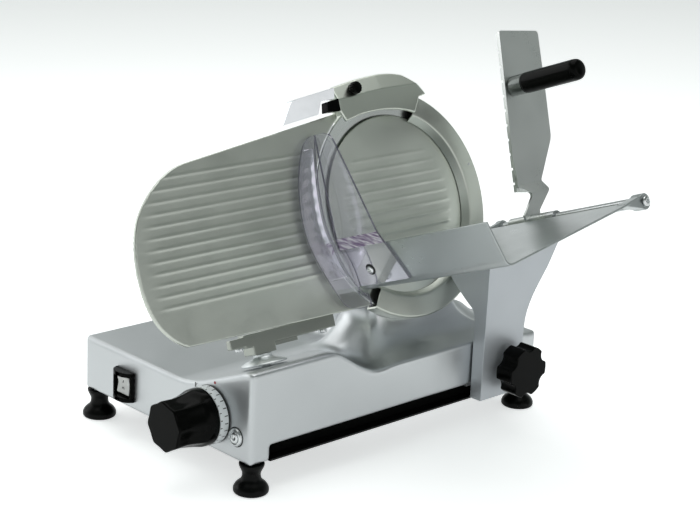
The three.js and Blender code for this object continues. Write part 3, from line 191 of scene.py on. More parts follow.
floor_mesh = bpy.data.meshes.new("floor")
floor_mesh.from_pydata([(-8, -8, 0), (8, -8, 0), (8, 8, 0), (-8, 8, 0)], [], [(0, 1, 2, 3)])
floor = put("floor", floor_mesh)
# White paper: it shines a little to the camera, so that it stays white a long way back.
paper, tree, spot = new_material("white_paper_floor")
lift = span(tree, distance(tree, spot, (1.0, 0.6, 0.0)), 2.0, 4.6, 0.62, 0.40)
path = add(tree, "LightPath")
mirrored = calc(tree, "MULTIPLY", path.outputs["Is Glossy Ray"], 0.62)
direct = calc(tree, "MAXIMUM", path.outputs["Is Camera Ray"], mirrored)
shade(tree, {"Base Color": linear("#fbfcfc"), "Roughness": 0.9, "Specular IOR Level": 0.1,
             "Emission Color": linear("#fbfdfd"), "Emission Strength": calc(tree, "MULTIPLY", lift, direct)})
floor.data.materials.append(paper)


# Base casting: sand cast aluminium, sanded and satin anodised. Casing, raised side and blade
# housing are one piece with soft fillets, so its skin is drawn round one distance field.
TILT = math.radians(21.2)
TILT_COS, TILT_SIN = math.cos(TILT), math.sin(TILT)
BLADE_CENTRE = Vector((65.2, 62, 254))
OUT, UP, ALONG = Vector((TILT_COS, 0, TILT_SIN)), Vector((-TILT_SIN, 0, TILT_COS)), Vector((0, 1, 0))
HALF_W, HALF_L, FOOT_H, DECK = 143.9, 220, 33, 95
CREST_X, CREST_Z, EDGE_Z = 134, 136.5, 131.4
HOUSING_R, HOUSING_FRONT, HOUSING_BACK, HOUSING_TOP = 108, -14, -62, 352
BARREL_R, BARREL_W, BARREL_K, BARREL_HALF = 50, -95, -98, 40
SLOT_Y, SLOT_HALF, SLOT_TOP, SLOT_DEPTH = 3.5, 196.5, 51, 12


def smin(a, b, r):
    h = np.maximum(r - np.abs(a - b), 0) / r
    return np.minimum(a, b) - h * h * r / 4


def smax(a, b, r):
    return -smin(-a, -b, r)


def cut(field, r, *sides):
    """Takes away the space where all the sides are negative, and rounds the new edges."""
    return smax(field, -reduce(np.maximum, sides), r)


def away(a, b):
    return np.sqrt(a * a + b * b)


def outline_distance(x, y, points):
    """Signed distance from (x, y) to a closed outline, negative inside."""
    x, y = np.broadcast_arrays(x, y)
    best = np.full(x.shape, 1e9)
    inside = np.zeros(x.shape, bool)
    for (ax, ay), (bx, by) in zip(points, points[1:] + points[:1]):
        ex, ey = bx - ax, by - ay
        px, py = x - ax, y - ay
        t = np.clip((px * ex + py * ey) / max(ex * ex + ey * ey, 1e-9), 0, 1)
        best = np.minimum(best, (px - t * ex) ** 2 + (py - t * ey) ** 2)
        if ay != by:
            inside ^= ((ay > y) != (by > y)) & (x < ex * (y - ay) / ey + ax)
    return np.where(inside, -1, 1) * np.sqrt(best)


def lattice(low, high, steps):
    """Open grid of x, y and z over a box, in millimetres."""
    axes = [np.arange(a - 2 * s, b + 2.5 * s, s) for a, b, s in zip(low, high, steps)]
    return axes[0][:, None, None], axes[1][None, :, None], axes[2][None, None, :]


def skin(field, axes, steps):
    """Surface net of a distance field: one vertex in each cell that the surface crosses."""
    inside = field < 0
    corners = [(i, j, k) for i in (0, 1) for j in (0, 1) for k in (0, 1)]
    shape = tuple(s - 1 for s in field.shape)
    count = sum(inside[tuple(slice(a, a + s) for a, s in zip(c, shape))].astype(np.int8) for c in corners)
    cells = np.argwhere((count > 0) & (count < 8))
    index = -np.ones(shape, np.int64)
    index[tuple(cells.T)] = np.arange(len(cells))
    value = {c: field[tuple((cells + c).T)] for c in corners}
    total, hits = np.zeros((len(cells), 3)), np.zeros(len(cells))
    for a, axis in ((a, axis) for a in corners for axis in range(3) if not a[axis]):
        b = tuple(v + (axis == n) for n, v in enumerate(a))
        crossing = (value[a] < 0) != (value[b] < 0)
        t = np.where(crossing, value[a] / np.where(crossing, value[a] - value[b], 1), 0)
        point = np.array(a, float) + np.outer(t, np.eye(3)[axis])
        total[crossing] += point[crossing]
        hits[crossing] += 1
    points = (cells + total / hits[:, None]) * np.array(steps) + np.array([a.ravel()[0] for a in axes])
    faces = []
    for axis in range(3):
        u, v = (axis + 1) % 3, (axis + 2) % 3
        edges = np.argwhere(np.diff(inside, axis=axis))
        for side in (u, v):
            edges = edges[(edges[:, side] > 0) & (edges[:, side] < shape[side])]
        around = []
        for du, dv in ((1, 1), (0, 1), (0, 0), (1, 0)):
            cell = edges.copy()
            cell[:, u] -= du
            cell[:, v] -= dv
            around.append(index[tuple(cell.T)])
        quad = np.stack(around, 1)
        turned = ~inside[tuple(edges.T)]
        quad[turned] = quad[turned][:, ::-1]
        faces.append(quad)
    return points, np.concatenate(faces)


def relax(points, faces, centre, reach, rounds):
    """Evens out the skin round a centre: each point moves towards the mean of its neighbours."""
    ends = np.concatenate([faces[:, [i, (i + 1) % 4]] for i in range(4)])
    ends = np.concatenate([ends, ends[:, ::-1]])
    count = np.maximum(np.bincount(ends[:, 0], minlength=len(points)), 1)[:, None]
    off = np.linalg.norm(points - np.array(centre), axis=1)
    inner = np.clip((HALF_W - 8 - points[:, 0]) / 24, 0, 1) * np.clip((points[:, 2] - DECK + 6) / 10, 0, 1)
    share = (0.6 * inner * np.clip((reach - off) / (0.4 * reach), 0, 1))[:, None]
    for _ in range(rounds):
        sums = [np.bincount(ends[:, 0], points[ends[:, 1], i], len(points)) for i in range(3)]
        points = points + share * (np.stack(sums, 1) / count - points)
    return points


def bend(path, b, c, d, count=10):
    """Carries a path on along a cubic curve to d."""
    t = np.linspace(0, 1, count + 1)[1:, None]
    a, b, c, d = (np.array(p, float) for p in (path[-1], b, c, d))
    path += [tuple(p) for p in (1 - t) ** 3 * a + 3 * (1 - t) ** 2 * t * b + 3 * (1 - t) * t * t * c + t ** 3 * d]


def place(name, points, faces, finish, body, node=None):
    """Puts a mesh, given in machine millimetres, on a body and in place of its CAD node."""
    mesh = bpy.data.meshes.new(name)
    mesh.from_pydata((np.asarray(points, float) / 1000 + MIDDLE).tolist(), [], [list(f) for f in faces])
    mesh.validate()
    mesh.materials.append(finish)
    mesh.shade_smooth()
    piece = put(name, mesh)
    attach(piece, body)
    if node:
        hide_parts(node)
    return piece


def metal(name, colour, roughness, metallic=1.0):
    material, tree, spot = new_material(name)
    shade(tree, {"Base Color": linear(colour), "Metallic": metallic, "Roughness": roughness})
    return material, tree, spot


def mottle(tree, vector, mm, detail=3.0):
    """Noise whose grains have a real size."""
    return add(tree, "TexNoise", {"Vector": vector, "Scale": 1000 / mm, "Detail": detail}).outputs["Fac"]


def relief(tree, height, strength, depth_mm=0.4):
    bump = add(tree, "Bump", {"Height": height, "Strength": strength, "Distance": depth_mm / 1000})
    shade(tree, {"Normal": bump.outputs["Normal"]})


# Satin anodised cast aluminium: an even, slightly green grey with a very fine sanded grain. The flank
# of the blade housing that faces the valley is polished by hand, which makes it contrasty.
satin_cast, tree, spot = metal("satin_cast_aluminium", "#cbced0", 0.34)
tone = span(tree, mottle(tree, spot, 60, 2.0), 0.3, 0.7, 0.37, 0.45)
polish = span(tree, distance(tree, spot, (0.005, 0.0, 0.118)), 0.055, 0.115, 0.72, 1.0)
shade(tree, {"Roughness": calc(tree, "MULTIPLY", tone, polish)})
relief(tree, mottle(tree, spot, 1.4), 0.05, 0.5)

front_outline = [(-HALF_W, FOOT_H), (HALF_W, FOOT_H), (HALF_W, EDGE_Z - 1.4)]
bend(front_outline, (HALF_W, EDGE_Z + 1), (HALF_W - 1, EDGE_Z + 2.2), (CREST_X + 5, EDGE_Z + 2.4))
bend(front_outline, (CREST_X - 2, EDGE_Z + 2.2), (126, 130.6), (119, 127.3))
front_outline += [(66.7, 105.5)]
bend(front_outline, (54, 100.2), (42, 96.6), (22.7, DECK))
front_outline += [(-HALF_W, DECK)]
side_outline = [(-HALF_L, FOOT_H), (HALF_L, FOOT_H), (HALF_L, DECK - 2), (5, DECK)]
bend(side_outline, (-40, DECK), (-62, 108), (-76, 117), 12)
bend(side_outline, (-88, 125), (-97, 131), (-110, CREST_Z + 1), 8)
side_outline += [(-126, CREST_Z + 12), (-HALF_L, CREST_Z + 12)]
neck = [(-62, -60), (-62, -112)]
bend(neck, (-62, -130), (-70, -140), (-84, -150))
neck += [(-96, -190), (96, -190)]
bend(neck, (84, -150), (62, -130), (62, -112))
neck += [(62, -60)]
shelf = [(40, 70), (HALF_W, 70), (HALF_W, DECK - 1), (108, 108), (70, 124), (40, 118)]

steps = (2.2, 2.2, 2.2)
x, y, z = lattice((-HALF_W, -HALF_L, FOOT_H), (HALF_W, HALF_L, HOUSING_TOP), steps)
block = smax(outline_distance(x, z, front_outline), outline_distance(y, z, side_outline), 5.0)
ledge = smax(outline_distance(x, z, shelf), np.abs(y - 78) - 100, 30)
block = np.maximum(smin(block, ledge, 30), x - HALF_W)
out = (x - BLADE_CENTRE.x) * TILT_COS + (z - BLADE_CENTRE.z) * TILT_SIN
slope = -(x - BLADE_CENTRE.x) * TILT_SIN + (z - BLADE_CENTRE.z) * TILT_COS
across = y - BLADE_CENTRE.y
case = smin(away(across, slope) - HOUSING_R, outline_distance(across, slope, neck), 30)
case = smax(smax(case, out - HOUSING_FRONT, 3), HOUSING_BACK - out, 14)
barrel = smax(away(across, slope - BARREL_W) - BARREL_R, np.abs(out - BARREL_K) - BARREL_HALF, 14)
case = np.maximum(smin(case, barrel, 14), FOOT_H + 25 - z)
body = smin(block, case, 14 + 22 * np.clip((-16 - out) / 26, 0, 1))
body = cut(body, 2, HALF_W - SLOT_DEPTH - x, np.abs(y - SLOT_Y) - SLOT_HALF, z - SLOT_TOP)
points, faces = skin(body, (x, y, z), steps)
# The corner where block, neck and valley meet is worked smooth by hand.
points = relax(points, faces, (84, -14, 116), 62, 90)
casing = place("base_casting_skin", points, faces, satin_cast, "root", "base_casting")
# Painted shade: the skin's faces inside the carriage slot are coloured nearly black, for the unlit inside of the
# casting seen through it.
painted_slot_shade, tree, spot = new_material("painted_shade_in_carriage_slot")
slot_shade_tone = shades(tree, mottle(tree, spot, 3), (0.3, "#040504"), (0.7, "#0b0c0b"))
shade(tree, {"Roughness": 0.9, "Specular IOR Level": 0.05, "Base Color": slot_shade_tone})
casing.data.materials.append(painted_slot_shade)
# Faces inside the slot take the painted shade.
slot_low, slot_high = world(HALF_W - 14, -194, 30), world(HALF_W - 1.6, 201, 50.6)
for face in casing.data.polygons:
    if all(slot_low[i] < face.center[i] < slot_high[i] for i in range(3)):
        face.material_index = 1

# Bottom cover: black painted steel sheet under the casing. Its edge shows in the slot at the
# tray side. The CAD sheet is right as it is and takes the paint.
X_AXIS, Y_AXIS, Z_AXIS, ORIGIN = Vector((1, 0, 0)), Vector((0, 1, 0)), Vector((0, 0, 1)), Vector((0, 0, 0))
ON_BLADE = (BLADE_CENTRE, ALONG, UP, OUT)  # outlines drawn along the travel and up the slope
SEEN_FROM_FRONT = (ORIGIN, X_AXIS, Z_AXIS, -Y_AXIS)
SEEN_FROM_SIDE = (ORIGIN, Y_AXIS, Z_AXIS, X_AXIS)


def on_blade(u, w, k=0):
    return BLADE_CENTRE + float(u) * ALONG + float(w) * UP + float(k) * OUT


def to_machine(points, axes):
    start, a, b, c = (np.array(v, float) for v in axes)
    points = np.asarray(points, float)
    return start + points[:, :1] * a + points[:, 1:2] * b + points[:, 2:] * c


def axes_along(axis, centre):
    """Axes of a turned piece, with its own axis last."""
    side = Y_AXIS if abs(axis.y) < 0.9 else X_AXIS
    first = (side - side.dot(axis) * axis).normalized()
    return centre, first, axis.cross(first), axis


def soften(points, radius=0.0, count=4):
    """Rounds the corners of a closed outline of (x, y) or (x, y, radius)."""
    made = []
    for i, corner in enumerate(points):
        spot, r = np.array(corner[:2], float), corner[2] if len(corner) > 2 else radius
        if r <= 0:
            made.append(tuple(spot))
            continue
        arms = [np.array(points[j][:2]) - spot for j in (i - 1, (i + 1) % len(points))]
        reach = min(r, *(0.49 * np.linalg.norm(arm) for arm in arms))
        a, b = (spot + arm / np.linalg.norm(arm) * reach for arm in arms)
        for t in np.linspace(0, 1, count + 1):
            made.append(tuple((1 - t) ** 2 * a + 2 * (1 - t) * t * spot + t * t * b))
    return made


def solid_piece(name, points, faces, axes, finish, body, node=None, bevel=0.0, segments=2, angle=32):
    """A closed mesh with its faces turned out and, if asked, its sharp edges rounded."""
    work = bmesh.new()
    made = [work.verts.new(p) for p in points]
    for face in faces:
        corners = list(dict.fromkeys(made[i] for i in face))
        if len(corners) > 2 and not work.faces.get(corners):
            work.faces.new(corners)
    bmesh.ops.remove_doubles(work, verts=work.verts, dist=1e-4)
    bmesh.ops.delete(work, geom=[v for v in work.verts if not v.link_faces], context="VERTS")
    bmesh.ops.recalc_face_normals(work, faces=work.faces)
    if bevel:
        sharp = [e for e in work.edges if len(e.link_faces) == 2 and e.calc_face_angle() > math.radians(25)]
        bmesh.ops.bevel(work, geom=sharp, offset=bevel, segments=segments, profile=0.5, affect="EDGES",
                        clamp_overlap=True)
    work.verts.index_update()
    points = to_machine([v.co[:] for v in work.verts], axes)
    faces = [[v.index for v in f.verts] for f in work.faces]
    work.free()
    piece = place(name, points, faces, finish, body, node)
    piece.data.set_sharp_from_angle(angle=math.radians(angle))
    if bevel:
        piece.modifiers.new("even_normals", "WEIGHTED_NORMAL").keep_sharp = True
    return piece


def lathe(name, profile, centre, axis, finish, body, node=None, soft=0.4, segments=96, turn=None):
    """A turned piece from (radius, height) points, or an arc of one, from turn[0] to turn[1] degrees."""
    profile = soften(profile, soft, 3)
    angles = np.radians(np.linspace(*turn, segments + 1) if turn else np.arange(segments) * 360 / segments)
    count, rounds = len(profile), len(angles)
    points = [(r * math.cos(a), r * math.sin(a), h) for a in angles for r, h in profile]
    faces = []
    for i in range(rounds - 1 if turn else rounds):
        a, b = i * count, (i + 1) % rounds * count
        faces += [(a + k, b + k, b + (k + 1) % count, a + (k + 1) % count) for k in range(count)]
    if turn:
        faces += [tuple(range(count)), tuple(reversed(range((rounds - 1) * count, rounds * count)))]
    return solid_piece(name, points, faces, axes_along(axis, centre), finish, body, node)


def prism(name, outline, low, high, axes, finish, body, node=None, bevel=0.5, segments=2):
    """An outline drawn out between two depths, with rounded edges. The far depth may vary over it."""
    count = len(outline)
    points = [(x, y, low) for x, y in outline]
    points += [(x, y, high(x, y) if callable(high) else high) for x, y in outline]
    faces = [tuple(range(count)), tuple(range(count, 2 * count))]
    faces += [(i, (i + 1) % count, (i + 1) % count + count, i + count) for i in range(count)]
    return solid_piece(name, points, faces, axes, finish, body, node, bevel, segments)


def dress(node, finish, bevel=0.0, segments=2):
    """A CAD node whose shape is right keeps it, takes a finish, and, if asked, has its sharp edges rounded."""
    piece = frame["nodes"][node]
    piece.data.materials.clear()
    piece.data.materials.append(finish)
    if bevel:
        piece.modifiers.new("weld", "WELD").merge_threshold = 2e-6
        edges = piece.modifiers.new("edges", "BEVEL")
        edges.width, edges.segments, edges.use_clamp_overlap = bevel / 1000, segments, True
        edges.limit_method, edges.angle_limit = "ANGLE", math.radians(35)
        piece.modifiers.new("even_normals", "WEIGHTED_NORMAL").keep_sharp = False


def plain(name, colour, roughness, bump=0.0, bump_mm=1.0, gloss=0.5):
    """A moulded or painted finish: even colour, slightly mottled sheen and, if asked, fine surface unevenness."""
    material, tree, spot = metal(name, colour, roughness, 0.0)
    sheen = span(tree, mottle(tree, spot, 18), 0.3, 0.7, roughness - 0.04, roughness + 0.04)
    shade(tree, {"Specular IOR Level": gloss, "Roughness": sheen})
    if bump:
        relief(tree, mottle(tree, spot, bump_mm, 2.0), bump)
    return material


def pull(tree, spot, scale):
    return add(tree, "Mapping", {"Vector": spot, "Scale": scale}).outputs["Vector"]


def brushed(name, colour, roughness, stretch=(1, 1, 1), line_mm=0.6, strength=0.06, spread=0.05):
    """Metal with a grain: fine lines that run along the small numbers of stretch, and a soft cloudiness."""
    material, tree, spot = metal(name, colour, roughness)
    lines = mottle(tree, pull(tree, spot, [s * 1000 / line_mm for s in stretch]), 1000)
    both = calc(tree, "ADD", lines, mottle(tree, spot, 45, 2.0))
    shade(tree, {"Roughness": span(tree, both, 0.7, 1.3, roughness - spread, roughness + spread)})
    relief(tree, lines, strength)
    return material


# Satin black paint: thick enough to look soft, with a low even sheen.
black_paint = plain("satin_black_paint", "#050605", 0.42, 0.1, 1.2, 0.2)
dress("bottom_cover", black_paint)

# Feet: moulded rubber bells with a cup at the top that takes the casing's boss, each screwed up
# into the casing from below by its own stud.
# Moulded rubber, black and fairly glossy where it is new, which puts a soft highlight on each bell.
rubber = plain("moulded_black_rubber", "#050605", 0.3, 0.12, 1.6, 0.12)
FOOT_X, FOOT_Y = HALF_W - 10.9, HALF_L - 12
bell = [(0, 0), (17.2, 0, 1), (18.8, 1.6, 1.5), (19, 5.5, 3), (16.6, 9.8, 3), (11.2, 14.2, 4), (9.8, 18, 3),
        (9.8, 22.6, 2), (13.4, 30.2, 1.2), (13.6, 32.6, 0.6), (2.8, 32.6), (2.8, 33.4), (0, 33.4)]
for end, foot_y in (("front", -FOOT_Y), ("rear", FOOT_Y)):
    for side, foot_x in (("left", -FOOT_X), ("right", FOOT_X)):
        node = "foot_" + end + "_" + side
        lathe(node + "_bell", bell, Vector((foot_x, foot_y, 0)), Z_AXIS, rubber, "root", node)

# Mains switch: glossy black snap-in frame with a hood above and below, and a pale rocker
# between them, snapped into its opening in the front face.
# Moulded gloss black, for the switch, the knobs and the handle.
gloss_black = plain("gloss_black_plastic", "#060706", 0.2, 0.05, 2.2, 0.06)
SWITCH_X, SWITCH_Z, FRONT, ROCKER_HALF = -68.0, 60.0, -HALF_L, 10.4


def ramp_between(value, low, high):
    t = np.clip((value - low) / (high - low), 0, 1)
    return t * t * (3 - 2 * t)


def box_distance(x, y, z, low, high, r=0.0):
    """Distance field of a box with rounded edges."""
    sides = [np.abs(v - (a + b) / 2) - (b - a) / 2 + r for v, a, b in zip((x, y, z), low, high)]
    outside = np.sqrt(sum(np.maximum(s, 0) ** 2 for s in sides))
    return outside + np.minimum(reduce(np.maximum, sides), 0) - r


def cast(name, field, grid, steps, finish, body, node, axes=None):
    """Skins a distance field, in machine axes or in others, and puts the piece in its place."""
    points, faces = skin(field, grid, steps)
    place(name, to_machine(points, axes) if axes else points, faces, finish, body, node)


fine = (0.6, 0.5, 0.6)
x, y, z = lattice((SWITCH_X - 17, FRONT - 11, SWITCH_Z - 19), (SWITCH_X + 17, FRONT, SWITCH_Z + 19), fine)
flat_x, flat_z = x - SWITCH_X, z - SWITCH_Z
field = box_distance(x, y, z, (SWITCH_X - 16, FRONT - 2.4, SWITCH_Z - 17),
                     (SWITCH_X + 16, FRONT - 0.2, SWITCH_Z + 17), 1.0)
round_front = away(flat_x, (y - FRONT) * 1.35) - 16.6
for side in (-1, 1):
    hood = smax(np.abs(flat_z * side - 14.6) - 2.4, smax(round_front, y - FRONT + 0.2, 0.5), 1.4)
    field = smin(field, hood, 1.2)
cheek = smax(np.abs(np.abs(flat_x) - 14.8) - 1.3, smax(np.abs(flat_z) - 16, np.abs(y - FRONT + 3) - 2.8, 1), 1)
opening = box_distance(x, y, z, (SWITCH_X - 13, FRONT - 20, SWITCH_Z - 11.6),
                       (SWITCH_X + 13, FRONT + 8, SWITCH_Z + 11.6), 0.8)
field = cut(smin(field, cheek, 1.0), 0.8, opening)
cast("switch_hood", field, (x, y, z), fine, gloss_black, "root", "switch_frame")
# Pale grey moulded rocker with a faint sheen.
pale_rocker = plain("pale_grey_rocker", "#e6e6e4", 0.35)
rocker = [(FRONT + 5, 50.5), (FRONT + 5, 69.5), (FRONT - 4.3, 70.3), (FRONT - 2.3, 60), (FRONT - 4.3, 49.7)]
prism("rocker_key", soften(rocker, 0.8), SWITCH_X - ROCKER_HALF, SWITCH_X + ROCKER_HALF, SEEN_FROM_SIDE,
      pale_rocker, "rocker", "switch_rocker")
# Black print: a stroke on the rocker's upper half and a ring on its lower half. The same black also paints a shadow
# ring round the slide rod plug.
print_and_shadow_black = plain("black_print_and_painted_shadow", "#101010", 0.5)
PRINT_T = 0.12


def oblong(x, y, w, h):
    return [(x - w, y - h), (x + w, y - h), (x + w, y + h), (x - w, y + h)]


def rocker_face(half):
    """Middle of the rocker's upper (1) or lower (-1) half, and the way that it faces."""
    lean = math.atan2(2.0, 8.3)
    facing = Vector((0, math.cos(lean), -math.sin(lean) * half)) * -1
    return Vector((SWITCH_X, FRONT - 3.35, SWITCH_Z + half * 4.4)), facing


middle, facing = rocker_face(1)
prism("rocker_on_mark", oblong(0, 0, 0.45, 2), 0, PRINT_T, (middle, X_AXIS, facing.cross(X_AXIS), facing),
      print_and_shadow_black, "rocker", bevel=0)
lathe("rocker_off_mark", [(1.0, 0), (1.9, 0), (1.9, PRINT_T), (1.0, PRINT_T)], *rocker_face(-1),
      print_and_shadow_black, "rocker", soft=0, segments=32)

# Thickness knob: moulded black knob with eight scallops that run out near the dial, pressed and
# pinned on the cam shaft, with a white dial ring behind it.
KNOB_X, KNOB_Z, KNOB_L, DIAL_R, DIAL_L = 80.0, 72.6, 50.2, 31.0, 12.5
KNOB_BACK = FRONT - DIAL_L - 0.3


def lobed(name, rings, shape, centre, axis, finish, body, node, segments=240):
    """A turned piece with lobes: rings are (radius, height, share), and share blends in the shape."""
    angles = np.arange(segments) * 2 * math.pi / segments
    points, faces = [], []
    for radius, height, share in rings:
        r = radius * (1 - share + share * shape(angles))
        points += list(zip(r * np.cos(angles), r * np.sin(angles), np.full(segments, height)))
    for row in range(0, (len(rings) - 1) * segments, segments):
        for i in range(segments):
            a, b = row + i, row + (i + 1) % segments
            faces.append((a, b, b + segments, a + segments))
    faces += [tuple(range(segments)), tuple(range((len(rings) - 1) * segments, len(rings) * segments))]
    solid_piece(name, points, faces, axes_along(axis, centre), finish, body, node, angle=38)


def eight_sided(angles):
    """Nearly an octagon, with soft corners and sides a little hollow."""
    off = (angles + math.radians(8)) % (math.pi / 4) - math.pi / 8
    straight = math.cos(math.pi / 8) / np.cos(off) - 0.022 * np.cos(off * 4) ** 2
    return (straight ** -26 + 1) ** (-1 / 26) * 1.025


rings = [(10, KNOB_BACK, 0), (30.0, KNOB_BACK, 0), (30.8, KNOB_BACK - 0.7, 0)]
for t in np.linspace(0, 1, 36):
    drop = 1.4 + t * (KNOB_L - 1.4 - 1.5)
    radius = 30.9 - 4.0 * float(ramp_between(drop, 3, 36)) + 0.5 * float(ramp_between(drop, 34, KNOB_L))
    rings.append((radius, KNOB_BACK - drop, float(ramp_between(drop, 8, 17))))
rings += [(radius, KNOB_BACK - KNOB_L + rise, 1) for radius, rise in ((26.9, 0.5), (26.2, 0.05), (25.8, 0), (25.2, 0))]
knob_centre = Vector((KNOB_X, 0, KNOB_Z))
lobed("thickness_knob_grip", rings, eight_sided, knob_centre, Y_AXIS, gloss_black, "thickness", "thickness_knob")
# White moulded ring with two rows of black printed strokes.
dial_white = plain("white_dial_plastic", "#f4f8fa", 0.25)
band = [(6.4, FRONT - DIAL_L), (DIAL_R, FRONT - DIAL_L), (DIAL_R, FRONT - 1.3), (DIAL_R - 0.8, FRONT - 0.5),
        (6.4, FRONT - 0.5)]
lathe("dial_band", band, knob_centre, Y_AXIS, dial_white, "thickness", "dial_ring", 0.3, 128)
line = [(DIAL_R - 1, FRONT - 2.0), (DIAL_R + 0.15, FRONT - 2.0), (DIAL_R + 0.15, FRONT - 0.6),
        (DIAL_R - 1, FRONT - 0.6)]
lathe("dial_rim_line", line, knob_centre, Y_AXIS, print_and_shadow_black, "thickness", soft=0, segments=128)
TICKS, TICK_HALF = 48, 0.45
points, faces = [], []
for i in range(TICKS):
    for edge in (-TICK_HALF, TICK_HALF):
        for depth in ((FRONT - 10, FRONT - 12.2) if i % 2 else (FRONT - 2.6, FRONT - 6.8)):
            for radius in (DIAL_R - 0.5, DIAL_R + 0.1):
                a = 2 * math.pi * i / TICKS + edge / DIAL_R
                points.append((radius * math.cos(a), depth, radius * math.sin(a)))
    faces += [tuple(8 * i + n for n in corners) for corners in (
        (0, 1, 3, 2), (4, 6, 7, 5), (0, 4, 5, 1), (2, 3, 7, 6), (0, 2, 6, 4), (1, 5, 7, 3))]
solid_piece("dial_strokes", points, faces, (knob_centre, X_AXIS, Y_AXIS, Z_AXIS), print_and_shadow_black, "thickness")
# Ground steel, for shafts and rods: bright with fine rings from turning.
ground_steel = brushed("ground_steel", "#c6c9ca", 0.24, line_mm=0.5, strength=0.03)
dress("knob_shaft", ground_steel)

# Index mark beside the dial and a red dot above it, printed on the front face. The red is a small
# warm accent.
red_print = plain("red_print", "#b01822", 0.45)
prism("index_mark", oblong(53.0, 97.0, 0.6, 2.6), -FRONT, -FRONT + PRINT_T, SEEN_FROM_FRONT, print_and_shadow_black,
      "root", bevel=0)
dot = [(0, FRONT), (1.5, FRONT), (1.5, FRONT - PRINT_T), (0, FRONT - PRINT_T)]
lathe("red_dot", dot, Vector((84.6, 0, 108.4)), Y_AXIS, red_print, "root", soft=0, segments=32)

# Slide rod plug: turned aluminium cap with a ring groove and a centre screw, beside the knob.
# The rods and bars that the carriage and the gauge run on are ground steel.
# Turned bright aluminium: clear, bright reflections.
bright = brushed("turned_bright_aluminium", "#d6d9da", 0.22, line_mm=0.4, strength=0.04)
plug_at = Vector((HALF_W - 22.9, FRONT, 60.0))
plug = [(0, 2), (10.2, 2), (10.2, 0.4, 0.3), (9.6, -2.2, 0.6), (8.6, -3.2, 0.4), (7.6, -3.4, 0.3), (7.2, -1.8),
        (6.4, -1.8), (6.1, -3.6, 0.4), (3.0, -3.9, 0.4), (2.6, -2.6), (0, -2.4)]
lathe("slide_rod_plug_cap", plug, plug_at, Y_AXIS, bright, "root", "slide_rod_plug", 0.2)
# Painted shadow: a thin black ring on the front face round the cap.
shadow = [(9.9, 0.1), (10.9, 0.1), (10.9, -0.35), (9.9, -0.35)]
lathe("slide_rod_plug_painted_shadow", shadow, plug_at, Y_AXIS, print_and_shadow_black, "root", soft=0)
for node in ("slide_rod", "guide_bar", "gauge_guide_rod", "gauge_slide", "pusher_rod", "pusher_collar"):
    dress(node, ground_steel)

# Gauge post and bracket: a turned foot on the raised side carries a cast bracket that is bolted
# behind the lower edge of the gauge plate. Both move with the plate.
POST_U, POST_K, RAIL_TOP = -231.0, -12.0, -101.0
post = [(0, -14.6), (6.5, -14.6), (6.5, 0), (24, 0, 0.4), (25, 1, 0.8), (24.2, 2.2, 1.5), (18.5, 4.8, 7),
        (12.4, 6.4, 4), (9.8, 8.2, 1.5), (9.8, 10.9), (0, 10.9)]
# Satin turned aluminium: paler and softer than the plug.
soft_bright = brushed("satin_turned_aluminium", "#e4e8e9", 0.4, strength=0.02)
lathe("gauge_post_foot", post, on_blade(POST_U, -135.2, POST_K), UP, soft_bright, "gauge", "gauge_post", 0.3)
# Polished cast aluminium: rounder and shinier than the casing.
polished_cast = brushed("polished_cast_aluminium", "#a8aca5", 0.3, line_mm=3.0, strength=0.02, spread=0.012)
dress("gauge_bracket", polished_cast, 1.1, 3)
bolt = [(0, 0), (4.6, 0, 0.6), (4.6, 3.6, 0.8), (2.7, 4.0), (2.5, 2.2), (0, 2.0)]
for number, spot in enumerate(((POST_U + 86, RAIL_TOP - 14, -10.5), (POST_U - 31, RAIL_TOP - 12, -8.7))):
    lathe("bracket_bolt_%d" % number, bolt, on_blade(*spot), -UP, bright, "gauge", soft=0.2, segments=48)

# Gauge plate: cast aluminium plate with twelve low ribs, ground flat on top of the ribs and satin
# anodised. Its rear end is cut round the blade, and the bracket holds it from behind.
BLADE_R, COVER_R = 125.0, 102.5
PLATE_K, PLATE_T, END = -0.2, 4.8, -372.5
GAUGE_ARC, TOP_U, HIGH_W, LOW_W = BLADE_R + 1.5, -70.0, BLADE_R - 41, -(BLADE_R - 22.5)
RIBS, RIB_TOP, RIB_LOW, RIB_H, RIB_W = 12, HIGH_W - 11, LOW_W + 46, 0.55, 1.7
top_arc = math.sqrt(GAUGE_ARC ** 2 - TOP_U ** 2)
tip_arc = -math.sqrt(GAUGE_ARC ** 2 - LOW_W ** 2)
plate = [(TOP_U, top_arc + 6), (TOP_U - 72.8, HIGH_W + 18.3), (END + 82.5, HIGH_W)]
bend(plate, (END + 54.5, HIGH_W - 4), (END + 27.5, HIGH_W - 26), (END + 13.5, HIGH_W - 47))
bend(plate, (END + 3.5, HIGH_W - 64), (END - 0.5, LOW_W + 97.5), (END, LOW_W + 80.5))
bend(plate, (END + 0.5, LOW_W + 54.5), (END + 6.5, LOW_W + 34.5), (END + 18.5, LOW_W + 21.5))
bend(plate, (END + 26, LOW_W + 13), (END + 34, LOW_W + 7), (END + 42.5, LOW_W + 3.7))
plate += [(tip_arc - 1, LOW_W), (tip_arc, LOW_W)]

